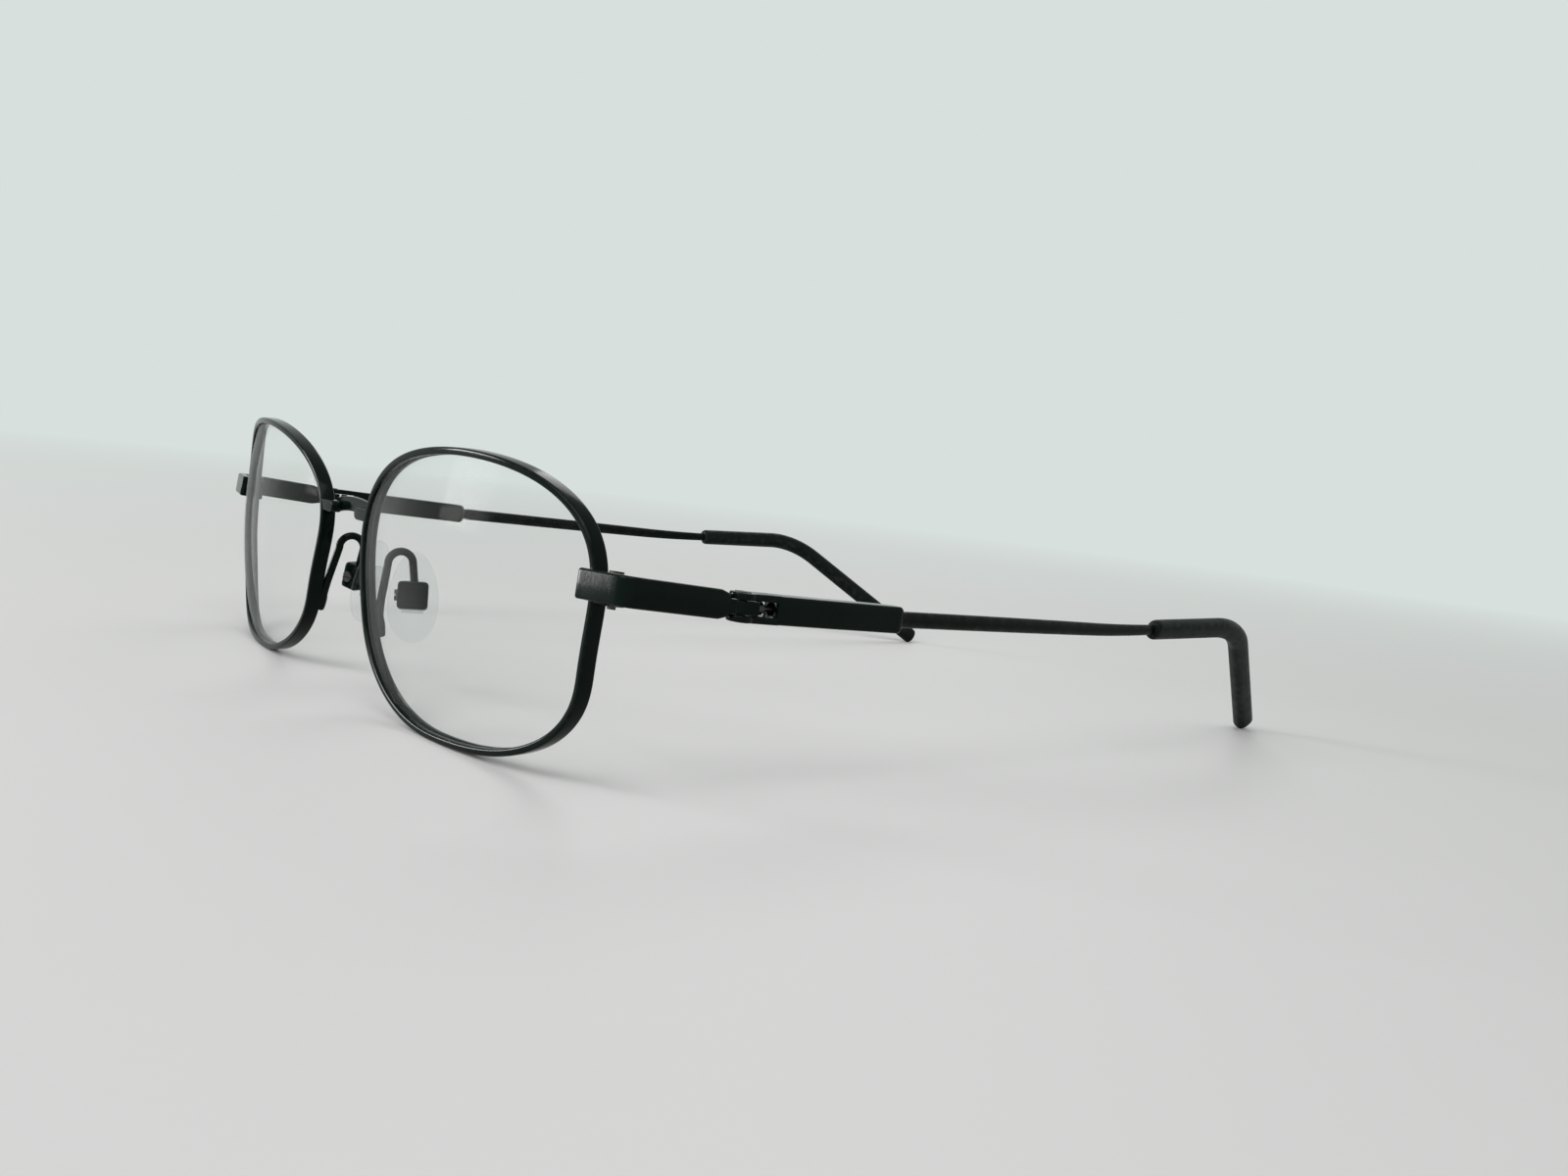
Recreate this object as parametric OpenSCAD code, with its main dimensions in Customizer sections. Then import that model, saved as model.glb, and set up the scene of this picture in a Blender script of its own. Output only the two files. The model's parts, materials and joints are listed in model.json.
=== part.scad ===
// Full-rim metal spectacle frame with clear lenses.
// Millimetres, +Z up. The front faces -Y, the temples run to +Y, and +X is the wearer's left.
// The origin is under the middle of the frame, on the surface that the rims and tips stand on.

/* [Lens shape] */
// Width of one lens
lens_w = 52; // [46:0.5:58]
// Height of one lens
lens_h = 35; // [30:0.5:42]
// Gap between the two lens shapes, laid flat
bridge_w = 18; // [15:0.5:22]
// How square the upper half of the lens is, 2 is an ellipse
top_square = 4.4; // [2.5:0.1:5]
// How square the lower half of the lens is
bottom_square = 2.2; // [2:0.1:4]
// How much the nasal side narrows downwards
nasal_taper = 0.20; // [0.05:0.01:0.25]
// How much the temporal side narrows downwards
temporal_taper = 0.09; // [0:0.01:0.15]
// Lift of the temporal side
brow_lift = 0.025; // [0:0.005:0.05]
// Sag of the brow line towards both sides
brow_sag = 0.25; // [0.1:0.01:0.3]
// Radius of the sphere that the lenses lie on
base_radius = 80; // [70:1:130]
// Thickness of a lens
lens_t = 1.2; // [1:0.05:1.3]

/* [Rims] */
// Thickness of the rim wire, seen from the front
rim_wall = 0.95; // [0.9:0.05:1.3]
// Depth of the rim wire, front to back
rim_depth = 2.1; // [1.6:0.05:2.3]
// Depth of the groove that holds the lens
groove = 0.5; // [0.4:0.05:0.55]
// Slit in the rim between the lock blocks
rim_slit = 0.3; // [0.2:0.05:0.5]

/* [Stance] */
// Each lens turns back by this angle at its temporal side
wrap = 6; // [3:0.5:9]
// The front leans this far with its lower edge towards the face
lean = 2.5; // [1.5:0.5:4]
// Slope of the spring boxes, down to the back
side_pitch = 2.5; // [2:0.25:4]
// How much steeper than the box the endpiece slopes
bar_pitch = 2.1; // [0:0.1:3]
// Angle by which the endpiece's front rises outwards
bar_roll = 2.2; // [0:0.1:3]
// Angle by which each temple points inwards
toe_in = 3; // [2:0.5:5]

/* [Bridge] */
// Height of the bridge bar
bar_h = 2.1; // [1.8:0.1:2.6]
// Thickness of the bridge bar
bar_t = 0.9; // [0.8:0.05:1.2]
// Rise of the bar at its middle
bar_rise = 0.6; // [0.4:0.1:1.2]
// Length of each lug between the rim and its round end
lug_len = 3.9; // [3.4:0.1:4.4]
// Height of a lug
lug_h = 1.7; // [1.5:0.1:2]

/* [Hinges] */
// Distance from the rim out to the hinge pin
hinge_out = 4.7; // [4.4:0.1:5.4]
// Distance from the rim back to the hinge pin
hinge_back = 16; // [15:0.2:19]
// Height of the endpiece and the spring box
side_h = 3.45; // [3.2:0.05:3.8]
// Thickness of the endpiece bar
side_t = 1.4; // [1.3:0.05:1.6]
// Diameter of the hinge screw
pin_d = 1.2; // [1.1:0.05:1.3]
// Running clearance round the pins, on the radius
run_gap = 0.03; // [0.02:0.01:0.05]

/* [Temples] */
// Distance from the hinge pin to the rear face of the spring box
box_len = 26.4; // [25:0.2:29]
// Width of the spring box at its front
box_w = 2.8; // [2.7:0.05:3.2]
// Distance from the hinge pin to the collar of the tip
tip_from = 84; // [76:1:88]
// Straight part of the tip before its bend
tip_straight = 18.5; // [15:0.5:21]
// Height of the temple wire at the box
wire_h = 2.15; // [1.9:0.05:2.3]
// Thickness of the temple wire at the box
wire_t = 1.4; // [1.35:0.05:1.5]
// Angle by which the wire rises behind the box
wire_rise = 1.25; // [0.5:0.25:2]
// Angle of the tip's straight part, to which the wire bends up
tip_rise = 4; // [2:0.5:5]
// Angle of the drop behind the ear
drop_angle = 40; // [34:1:46]
// Angle by which the drop leans inwards
drop_lean = 31; // [16:1:42]
// Height of the tip
tip_h = 3.2; // [2.9:0.1:3.5]
// Thickness of the tip
tip_t = 2.5; // [2.3:0.1:2.8]
// How much fuller the tip is at its end than at its collar
tip_swell = 0.12; // [0:0.02:0.2]

/* [Nose pads] */
// Length of a pad
pad_len = 13; // [11:0.5:14]
// Width of a pad
pad_w = 7; // [6:0.5:8]
// Thickness of a pad
pad_t = 2.3; // [2.1:0.1:2.6]
// Diameter of the pad arm's wire
arm_d = 1.1; // [0.9:0.05:1.2]
// Distance of a pad box outside the nasal edge of its lens
pad_out = 1.2; // [0.4:0.2:2]
// Distance from the lens plane back to a pad box
pad_back = 7.6; // [7:0.2:9]
// Angle by which the pads open towards the face
pad_turn = 25; // [15:1:32]
// Angle by which the pads close at their upper ends
pad_lean = 12; // [6:1:18]
// Rocking of a pad, each way
pad_rock = 8; // [4:1:8]

/* [Hidden] */
$fn = 48;

black = [0.06, 0.065, 0.065];
satin = [0.14, 0.14, 0.15];
steel = [0.3, 0.3, 0.31];
clear = [0.85, 0.92, 0.92, 0.35];

// Turns of a point about an axis
function turn_x(a, p) = [p[0], p[1] * cos(a) - p[2] * sin(a), p[1] * sin(a) + p[2] * cos(a)];
function turn_y(a, p) = [p[0] * cos(a) + p[2] * sin(a), p[1], p[2] * cos(a) - p[0] * sin(a)];
function turn_z(a, p) = [p[0] * cos(a) - p[1] * sin(a), p[0] * sin(a) + p[1] * cos(a), p[2]];

// Lens outline: a superellipse whose exponent and sides change smoothly from half to half.
// The angle runs from the temporal side over the brow to the nasal side.
function ease(s) = 0.5 + 2 * s / sqrt(1 + 16 * s * s);
function squareness(a) = bottom_square + (top_square - bottom_square) * ease(sin(a));
function radius_at(a, n) = pow(pow(abs(cos(a)), n) + pow(abs(sin(a)), n), -1 / n);
function taper_at(a) = nasal_taper + (temporal_taper - nasal_taper) * ease(cos(a));
function across(a, r) = r * cos(a) * (1 + taper_at(a) * r * sin(a));
function bowed(x, z) = [x, z + brow_lift * x - brow_sag * x * x];
function raw(a) = let (r = radius_at(a, squareness(a))) bowed(across(a, r), r * sin(a));
raw_all = [for (a = [0:359]) raw(a)];
raw_lo = [min([for (p = raw_all) p[0]]), min([for (p = raw_all) p[1]])];
raw_hi = [max([for (p = raw_all) p[0]]), max([for (p = raw_all) p[1]])];
raw_mid = (raw_lo + raw_hi) / 2;
lens_scale = [lens_w / (raw_hi[0] - raw_lo[0]), lens_h / (raw_hi[1] - raw_lo[1])];
function scaled(p) = [(p[0] - raw_mid[0]) * lens_scale[0], (p[1] - raw_mid[1]) * lens_scale[1]];
function outline(a) = scaled(raw(a));
function outward(a) = let (d = outline(a + 1) - outline(a - 1)) [d[1], -d[0]] / norm(d);
function edge(a, off) = outline(a) + off * outward(a);

// A flat point on the base sphere, then in the front's frame, then in the frame of the surface
function sag(p) = base_radius - sqrt(base_radius * base_radius - p[0] * p[0] - p[1] * p[1]);
lens_out = (lens_w + bridge_w) / 2;
function to_front(p) = turn_z(wrap, p) + [lens_out, 0, 0];
function to_level(p) = turn_x(lean, p);

// The rim, as a section swept round the outline
rim_steps = 96;
lock_angle = 28.5;
slit_half = rim_slit / 2 / (lens_w / 2) * 180 / PI;
function station(i) = lock_angle + 360 * i / rim_steps;
function rim_station(i) = station(i) + (i == 0 ? slit_half : i == rim_steps ? -slit_half : 0);
function on_rim(a, off, back) = let (e = edge(a, off)) [e[0], sag(outline(a)) + back, e[1]];
function rim_at(a, off, back) = to_front(on_rim(a, off, back));
rim_edge = 0.15;
groove_half = 0.42;
rim_section = [
    [rim_edge, -rim_depth / 2],
    [rim_wall - rim_edge, -rim_depth / 2],
    [rim_wall, rim_edge - rim_depth / 2],
    [rim_wall, rim_depth / 2 - rim_edge],
    [rim_wall - rim_edge, rim_depth / 2],
    [rim_edge, rim_depth / 2],
    [0, rim_depth / 2 - rim_edge],
    [0, groove_half],
    [groove, 0],
    [0, -groove_half],
    [0, rim_edge - rim_depth / 2]];

// Heights: the lowest points of the rims and of the tips rest on z = 0
rim_low = min([for (i = [0:rim_steps]) for (b = [-1, 1])
    to_level(rim_at(station(i), rim_wall, b * rim_depth / 2))[2]]);
lift = -rim_low;

// Hinge pin, out, back and down from the rim at the lock
lock_at = to_level(rim_at(lock_angle, rim_wall, 0));
hinge_drop = hinge_back * sin(bar_pitch) - hinge_out * sin(bar_roll);
pin_at = lock_at + turn_x(-side_pitch, [hinge_out, hinge_back, -hinge_drop]);
function side_to_level(p) = pin_at + turn_x(-side_pitch, p);
function temple_to_level(p) = side_to_level(turn_z(toe_in, p));

// The wire leaves the box almost in line, and its last stretch bends up into the tip's slope
rise_last = 16;
wire_run = tip_from - box_len;
function wire_z(s) = let (b = max(0, min(s, wire_run) - wire_run + rise_last))
    tan(wire_rise) * min(s, wire_run) + (tan(tip_rise) - tan(wire_rise)) * b * b / (2 * rise_last)
    + tan(tip_rise) * max(0, s - wire_run);
tip_origin = [0, tip_from, wire_z(wire_run)];
function tip_to_temple(p) = tip_origin + turn_x(tip_rise, p);

// Route of the tip: straight, a bend, then a straight drop of length d
bend_r = 18;
bend_len = bend_r * drop_angle * PI / 180;
function bent(s, d) = let (
    b = s - tip_straight,
    a = b < 0 ? 0 : b > bend_len ? drop_angle : drop_angle * b / bend_len,
    past = max(0, b - bend_len))
    [min(s, tip_straight) + bend_r * sin(a) + past * cos(a), bend_r * (1 - cos(a)) + past * sin(a), a];
function tip_point(s, u, v) = let (r = bent(s, 0))
    turn_y(drop_lean, [u, r[0] + v * sin(r[2]), v * cos(r[2]) - r[1]]);
// Fractions of the section along the tip: round at the collar and at the end, slowly fuller between
tip_round = 1;
function tip_full(s, end) = let (a = s / tip_round, b = (s - end) / tip_round + 1)
    (1 + tip_swell * s / end) * (a < 1 ? 0.8 + 0.2 * sqrt(a * (2 - a)) : b > 0 ? 1 - 0.25 * b * b : 1);
tip_sides = 20;
// The section is a rounded oblong, a superellipse of exponent 2.6
function oblong(a, n) = radius_at(a, n) * [cos(a), sin(a)];
function tip_ring(s, end) = [for (k = [0:tip_sides - 1])
    let (q = oblong(360 * k / tip_sides, 2.6) * tip_full(s, end) / 2)
    tip_point(s, q[0] * tip_t, q[1] * tip_h)];
trial_end = tip_straight + bend_len + 20;
trial_low = min([for (p = tip_ring(trial_end, trial_end)) temple_to_level(tip_to_temple(p))[2]]);
drop_step = temple_to_level(tip_to_temple(tip_point(trial_end, 0, 0)))
    - temple_to_level(tip_to_temple(tip_point(trial_end - 1, 0, 0)));
tip_end = trial_end + (rim_low - trial_low) / drop_step[2];
drop_from = tip_straight + bend_len;
tip_rings = concat([0, 0.3 * tip_round, tip_round], [tip_straight / 2],
    [for (k = [0:12]) tip_straight + bend_len * k / 12],
    [for (k = [1:4]) drop_from + (tip_end - tip_round - drop_from) * k / 4],
    [tip_end - tip_round / 2, tip_end]);
tip_points = [for (s = tip_rings) tip_ring(s, tip_end)];

// The origin lies under the middle of the outer box, whose front is the foremost point of the lenses
back_most = max([for (r = tip_points) for (p = r) temple_to_level(tip_to_temple(p))[1]]);
front_most = base_radius * (cos(wrap) * cos(lean) - 1) - lens_t / 2;
mid_y = (front_most + back_most) / 2;

module seated() translate([0, -mid_y, lift]) children();
module on_front() seated() rotate([lean, 0, 0]) children();
module on_lens() on_front() translate([lens_out, 0, 0]) rotate([0, 0, wrap]) children();
module on_side() seated() translate(pin_at) rotate([-side_pitch, 0, 0]) children();
module on_temple() on_side() rotate([0, 0, toe_in]) children();
module on_tip() on_temple() translate(tip_origin) rotate([tip_rise, 0, 0]) children();
module other_side() mirror([1, 0, 0]) children();

// A closed skin over rings of points, each with the same number of points.
// The lid lists the triangles of a first ring that isn't convex.
module skin(rings, lid = []) {
    n = len(rings[0]);
    last = len(rings) - 1;
    points = [for (r = rings) for (p = r) p];
    walls = [for (i = [0:last - 1]) for (j = [0:n - 1])
        let (a = i * n + j, b = i * n + (j + 1) % n)
        for (f = [[a, b, b + n], [a, b + n, a + n]]) f];
    fan = len(lid) > 0 ? lid : [for (j = [1:n - 2]) [0, j, j + 1]];
    lids = concat([for (t = fan) [t[2], t[1], t[0]]], [for (t = fan) t + last * n * [1, 1, 1]]);
    polyhedron(points = points, faces = concat(walls, lids));
}

// Triangles of the section's front lobe, floor and rear lobe, on either side of the groove
rim_lid = [[0, 1, 2], [0, 2, 8], [0, 8, 9], [0, 9, 10], [2, 3, 8], [5, 6, 7], [5, 7, 8], [5, 8, 3], [5, 3, 4]];

module rim() {
    color(black)
        on_lens()
            skin([for (i = [rim_steps:-1:0]) [for (q = rim_section) on_rim(rim_station(i), q[0], q[1])]], rim_lid);
}

// Lens: front and back surfaces, and a bevelled edge that lies in the rim's groove
lens_gap = 0.05;
bevel_half = groove_half - lens_gap;
lens_rows = [
    [0.001, 0, -lens_t / 2],
    [0.45, 0, -lens_t / 2],
    [0.8, 0, -lens_t / 2],
    [1, -lens_gap, -lens_t / 2],
    [1, -lens_gap, -bevel_half],
    [1, groove - 1.5 * lens_gap, 0],
    [1, -lens_gap, bevel_half],
    [1, -lens_gap, lens_t / 2],
    [0.8, 0, lens_t / 2],
    [0.45, 0, lens_t / 2],
    [0.001, 0, lens_t / 2]];
function lens_point(a, row) = let (
    e = edge(a, row[1]) * row[0],
    y = row[0] == 1 ? sag(outline(a)) : sag(e))
    [e[0], y + row[2], e[1]];

module lens() {
    color(clear)
        on_lens()
            skin([for (row = lens_rows) [for (i = [0:rim_steps - 1]) lens_point(station(i), row)]]);
}

// Bridge: the lugs are brazed to the rims, and the bar is welded across their backs
lug_angle = 143;
lug_at = rim_at(lug_angle, rim_wall, 0);
lug_front = -0.9;
lug_back = 0.6;
braze = 0.25;

module bridge_lug() {
    color(black)
        on_front()
            translate(lug_at) {
                translate([lug_h / 2 - lug_len, lug_front, -lug_h / 2])
                    cube([lug_len + braze - lug_h / 2, lug_back - lug_front, lug_h]);
                translate([lug_h / 2 - lug_len, lug_back, 0])
                    rotate([90, 0, 0])
                        cylinder(h = lug_back - lug_front, d = lug_h);
            }
}

bar_half = lug_at[0] - 1.6;
bar_radius = (bar_half * bar_half + bar_rise * bar_rise) / (2 * bar_rise);
bar_top = lug_at[2] + 1.25;

module bridge_bar() {
    color(black)
        on_front()
            translate([0, lug_at[1] + lug_back + bar_t, bar_top + bar_rise - bar_radius])
                rotate([90, 0, 0])
                    linear_extrude(height = bar_t)
                        intersection() {
                            difference() {
                                circle(r = bar_radius, $fn = 180);
                                circle(r = bar_radius - bar_h, $fn = 180);
                            }
                            translate([-bar_half, bar_radius / 2])
                                square([2 * bar_half, bar_radius]);
                        }
}

// Endpiece: a flat bar across the rim, round the corner and back to the hinge tongue.
// It is drawn in plan about the hinge pin, from the rim at x = -hinge_out, y = -hinge_back.
module on_bar() on_side() rotate([-bar_pitch, 0, 0]) rotate([0, -bar_roll, 0]) children();
rake = 9.8;
splay = 5.6;
corner_r = 1.3;
tongue_h = 1.6;
tongue_r = 1.5;
neck = 1.9;
neck_lap = 0.4;
neck_t = side_t - 0.2;
start_in = -1.5;
start_y = -0.08 - (rim_depth + side_t) / 2;
start_at = [start_in - hinge_out, start_y - hinge_back];
side_end = [0, -neck];
front_way = [cos(rake), sin(rake)];
side_way = [sin(splay), -cos(splay)];
corner_turn = 90 + splay - rake;
front_run = cross(side_end - start_at, side_way) / cross(front_way, side_way)
    - corner_r * tan(corner_turn / 2);
corner_mid = start_at + front_run * front_way + corner_r * [-sin(rake), cos(rake)];

corner_steps = 12;
function beside(off) = concat(
    [start_at + off * [sin(rake), -cos(rake)]],
    [for (k = [0:corner_steps]) let (a = rake - 90 + corner_turn * k / corner_steps)
        corner_mid + (corner_r + off) * [cos(a), sin(a)]],
    [side_end + off * [cos(splay), sin(splay)]]);
function backwards(v) = [for (i = [len(v) - 1:-1:0]) v[i]];

module endpiece_plan() polygon(concat(beside(side_t / 2), backwards(beside(-side_t / 2))));

// Seen from the side, the bar's rear end narrows towards the tongue
end_slope = 1.6;
end_drop = 0.45;
bar_reach = 30;
module endpiece_side() {
    h = side_h / 2;
    end_h = h - end_drop;
    polygon([[-bar_reach, -h], [-neck - end_slope, -h], [-neck, -end_h], [0, -end_h],
        [0, end_h], [-neck, end_h], [-neck - end_slope, h], [-bar_reach, h]]);
}

// The tongue is round on its inner side, and its outer rear corner is the cam
cam = [[0, 0], [1.5, 0], [1.6, 1.45], [1.15, 1.85], [0, 1.5]];

module endpiece() {
    color(black)
        difference() {
            union() {
                on_bar()
                    intersection() {
                        translate([0, 0, -side_h / 2])
                            linear_extrude(height = side_h)
                                endpiece_plan();
                        rotate([90, 0, 90])
                            linear_extrude(height = 2 * bar_reach, center = true)
                                endpiece_side();
                    }
                on_side()
                    translate([0, 0, -tongue_h / 2])
                        linear_extrude(height = tongue_h) {
                            circle(r = tongue_r);
                            polygon(cam);
                            translate([-neck_t / 2, -neck - neck_lap])
                                square([neck_t, neck + neck_lap]);
                        }
            }
            on_side()
                cylinder(h = 9, d = pin_d + 2 * run_gap, center = true);
        }
}

// Rim lock: two blocks behind the endpiece's front, drawn along its back face
lock_d = 1;
lock_from = 1.6;
lock_to = 4.3;
lock_deep = 2.6;
lock_up = 1.25;
lock_down = 1.85;
lock_mid = [3.1, side_t / 2 + 1.6];
lock_foot = 0.35;
lock_head_d = 1.7;
lock_head_h = 0.5;
lock_slot = 0.22;
module on_lock() on_bar() translate([start_at[0], start_at[1], 0]) rotate([0, 0, rake]) children();

module lock_block(z, high) {
    color(black)
        on_lock()
            difference() {
                translate([lock_from, side_t / 2, z])
                    cube([lock_to - lock_from, lock_deep, high]);
                translate([lock_mid[0], lock_mid[1], z - 1])
                    cylinder(h = high + 2, d = lock_d + 2 * run_gap);
            }
}
module lock_upper() lock_block(rim_slit / 2, lock_up);
module lock_lower() lock_block(-rim_slit / 2 - lock_down, lock_down);

module lock_screw() {
    head_z = rim_slit / 2 + lock_up;
    foot_z = rim_slit / 2 + lock_down + lock_foot;
    color(steel)
        on_lock()
            translate([lock_mid[0], lock_mid[1], 0])
                difference() {
                    union() {
                        translate([0, 0, -foot_z])
                            cylinder(h = foot_z + head_z + lock_slot, d = lock_d);
                        translate([0, 0, head_z])
                            cylinder(h = lock_head_h, d = lock_head_d);
                    }
                    translate([-1, -0.13, head_z + lock_head_h - lock_slot])
                        cube([2, 0.26, 1]);
                }
}

// Nose pads: each arm is a wire with a flared foot on the rim, a loop and an end in a pad box
pad_at = [bridge_w / 2 + pad_out, pad_back, -3.7];
loop_r = 1.85;
loop_mid = [pad_at[0] - 0.9, pad_at[1] - loop_r + 0.2, pad_at[2] + 4.3];
pad_box_size = [2.4, 4.2, 3.9];
box_hole = [2.1, 2.6, 2.7];
pad_pin_d = 1;
module on_pad() on_front() translate(pad_at) rotate([0, 0, -pad_turn]) rotate([0, -pad_lean, 0]) children();

// Route of the arm as points with the wire's radius: foot, leg, loop, leg
foot_low = rim_at(195, rim_wall / 2, rim_depth / 2 + 0.3);
foot_top = rim_at(183, rim_wall / 2, rim_depth / 2 + 0.35);
loop_in = loop_mid + [0, -loop_r, 0];
loop_out = loop_mid + [0, loop_r, 0];
arm_end = pad_at + [0.15, 0.1, pad_box_size[2] / 2 - 0.25];
function mix(p, q, t) = p + t * (q - p);
arm_route = concat(
    [[foot_low, 0.25], [mix(foot_low, foot_top, 0.08), 0.5], [mix(foot_low, foot_top, 0.5), 0.62],
        [mix(foot_low, foot_top, 0.85), 0.56]],
    [for (t = [0.25, 0.5, 0.75]) [mix(foot_top, loop_in, t), 0.5 + 0.03 * (1 - t)]],
    [for (k = [0:10]) [loop_mid + loop_r * [0, -cos(18 * k), sin(18 * k)], 0.5]],
    [for (t = [0.35, 1]) [mix(loop_out, arm_end, t), 0.5]]);
arm_sides = 12;
function unit(v) = v / norm(v);
function arm_way(i) = unit(arm_route[min(i + 1, len(arm_route) - 1)][0] - arm_route[max(i - 1, 0)][0]);
function arm_ring(i) = let (
    t = arm_way(i),
    u = unit([1, 0, 0] - t[0] * t),
    v = cross(t, u),
    r = arm_d * arm_route[i][1])
    [for (k = [arm_sides - 1:-1:0]) arm_route[i][0] + r * (cos(360 * k / arm_sides) * u + sin(360 * k / arm_sides) * v)];

module pad_arm() {
    color(black)
        on_front()
            skin([for (i = [0:len(arm_route) - 1]) arm_ring(i)]);
}

module pad_box() {
    color(black)
        on_pad()
            difference() {
                translate(-pad_box_size / 2)
                    cube(pad_box_size);
                translate([-pad_box_size[0] / 2 - 1, -box_hole[1] / 2, -box_hole[2] / 2])
                    cube([box_hole[0] + 1, box_hole[1], box_hole[2]]);
                rotate([90, 0, 0])
                    cylinder(h = 9, d = pad_pin_d + 2 * run_gap, center = true);
            }
}

module pad_screw() {
    head_y = pad_box_size[1] / 2;
    color(steel)
        on_pad()
            rotate([90, 0, 0])
                difference() {
                    union() {
                        translate([0, 0, -head_y])
                            cylinder(h = 2 * head_y, d = pad_pin_d);
                        translate([0, 0, head_y])
                            cylinder(h = 0.4, d = 1.6);
                    }
                    translate([-1, -0.12, head_y + 0.2])
                        cube([2, 0.24, 1]);
                }
}

// The stem of a pad turns on the screw, and its plate is moulded into the pad
stem = [box_hole[1] - 0.24, 1.6];
plate = [0.7, 3, 4.6];
pad_gap = 0.22 + tan(pad_rock) * pad_box_size[2] / 2;
pad_rear = -pad_box_size[0] / 2 - pad_gap;
plate_from = pad_rear - 0.55;

module pad_core() {
    color(steel)
        on_pad()
            difference() {
                union() {
                    translate([plate_from, -stem[0] / 2, -stem[1] / 2])
                        cube([-plate_from, stem[0], stem[1]]);
                    rotate([90, 0, 0])
                        cylinder(h = stem[0], d = stem[1], center = true);
                    translate([plate_from - plate[0], -plate[1] / 2, -plate[2] / 2])
                        cube(plate);
                }
                rotate([90, 0, 0])
                    cylinder(h = 9, d = pad_pin_d + 2 * run_gap, center = true);
            }
}

// Pad: an egg-shaped cushion, wider at its lower end, from rings stacked through its thickness
pad_sides = 32;
function egg(a) = [cos(a) * (1 - 0.14 * sin(a)) * pad_w / 2, sin(a) * pad_len / 2];
pad_rows = [[0, 0.05], [0, 0.7], [0.14, 0.9], [0.38, 1], [0.6, 0.98], [0.8, 0.86], [0.93, 0.66], [1, 0.3], [1, 0.03]];

module pad() {
    color(clear)
        on_pad()
            difference() {
                skin([for (r = pad_rows) [for (k = [0:pad_sides - 1])
                    let (e = egg(360 * k / pad_sides) * r[1])
                    [pad_rear - pad_t * r[0], e[0], e[1]]]]);
                translate([plate_from - plate[0], -plate[1] / 2, -plate[2] / 2])
                    cube(plate);
                translate([plate_from - 0.1, -stem[0] / 2, -stem[1] / 2])
                    cube([2, stem[0], stem[1]]);
            }
}

// Hinge: the box's fork holds the tongue, and the screw passes through all three
knuckle_r = 1.6;
fork_gap = 1.8;
fork_deep = 4.6;
head_d = 1.9;
head_sunk = 0.35;

module hinge_screw() {
    seat = side_h / 2 - head_sunk + 0.02;
    color(steel)
        on_temple()
            difference() {
                union() {
                    translate([0, 0, -side_h / 2])
                        cylinder(h = side_h / 2 + seat, d = pin_d);
                    translate([0, 0, seat])
                        cylinder(h = head_sunk + 0.08, d = head_d);
                }
                translate([-2, -0.14, side_h / 2 - 0.15])
                    cube([4, 0.28, 1]);
            }
}

// Spring box: fork arms in front, a bore for the spring and plunger, a socket for the wire
bore_r = 0.85;
bore_end = 16.2;
socket_r = 0.75;
socket_deep = 4;
box_rear_w = 2.2;

rear_r = 0.9;
module box_side() {
    translate([0, -side_h / 2])
        square([box_len - rear_r, side_h]);
    translate([0, rear_r - side_h / 2])
        square([box_len, side_h - 2 * rear_r]);
    for (z = [-1, 1] * (side_h / 2 - rear_r))
        translate([box_len - rear_r, z])
            circle(r = rear_r);
}

module box_plan() {
    circle(r = knuckle_r);
    polygon([[-box_w / 2, 0.6], [box_w / 2, 0.6], [box_w / 2, 14], [box_rear_w / 2, box_len],
        [-box_rear_w / 2, box_len], [-box_w / 2, 14]]);
}

module spring_box() {
    color(black)
        on_temple()
            difference() {
                intersection() {
                    translate([0, 0, -side_h / 2])
                        linear_extrude(height = side_h)
                            box_plan();
                    union() {
                        translate([-2, 0, 0])
                            rotate([90, 0, 90])
                                linear_extrude(height = 4)
                                    box_side();
                        cylinder(h = side_h, r = knuckle_r + 1, center = true);
                    }
                }
                translate([-3, -3, -fork_gap / 2])
                    cube([6, 3 + fork_deep, fork_gap]);
                rotate([-90, 0, 0])
                    cylinder(h = bore_end, r = bore_r);
                translate([0, box_len - socket_deep, 0])
                    rotate([-90, 0, 0])
                        cylinder(h = socket_deep + 1, r = socket_r);
                cylinder(h = 9, d = pin_d + 2 * run_gap, center = true);
                translate([0, 0, side_h / 2 - head_sunk])
                    cylinder(h = 1, d = head_d + 0.1);
            }
}

// Plunger: a head that the cam pushes, a neck, a piston and a guide rod for the spring
plunge_from = 2;
head_len = 0.9;
piston_from = 5.4;
piston_len = 0.8;
guide_end = 11;

module plunger() {
    color(steel)
        on_temple()
            rotate([-90, 0, 0]) {
                translate([0, 0, plunge_from])
                    cylinder(h = head_len, r = bore_r - 0.05);
                translate([0, 0, plunge_from + 0.1])
                    cylinder(h = piston_from - plunge_from, r = 0.35);
                translate([0, 0, piston_from])
                    cylinder(h = piston_len, r = bore_r - 0.05);
                translate([0, 0, piston_from + 0.1])
                    cylinder(h = guide_end - piston_from, r = 0.3);
            }
}

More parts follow.
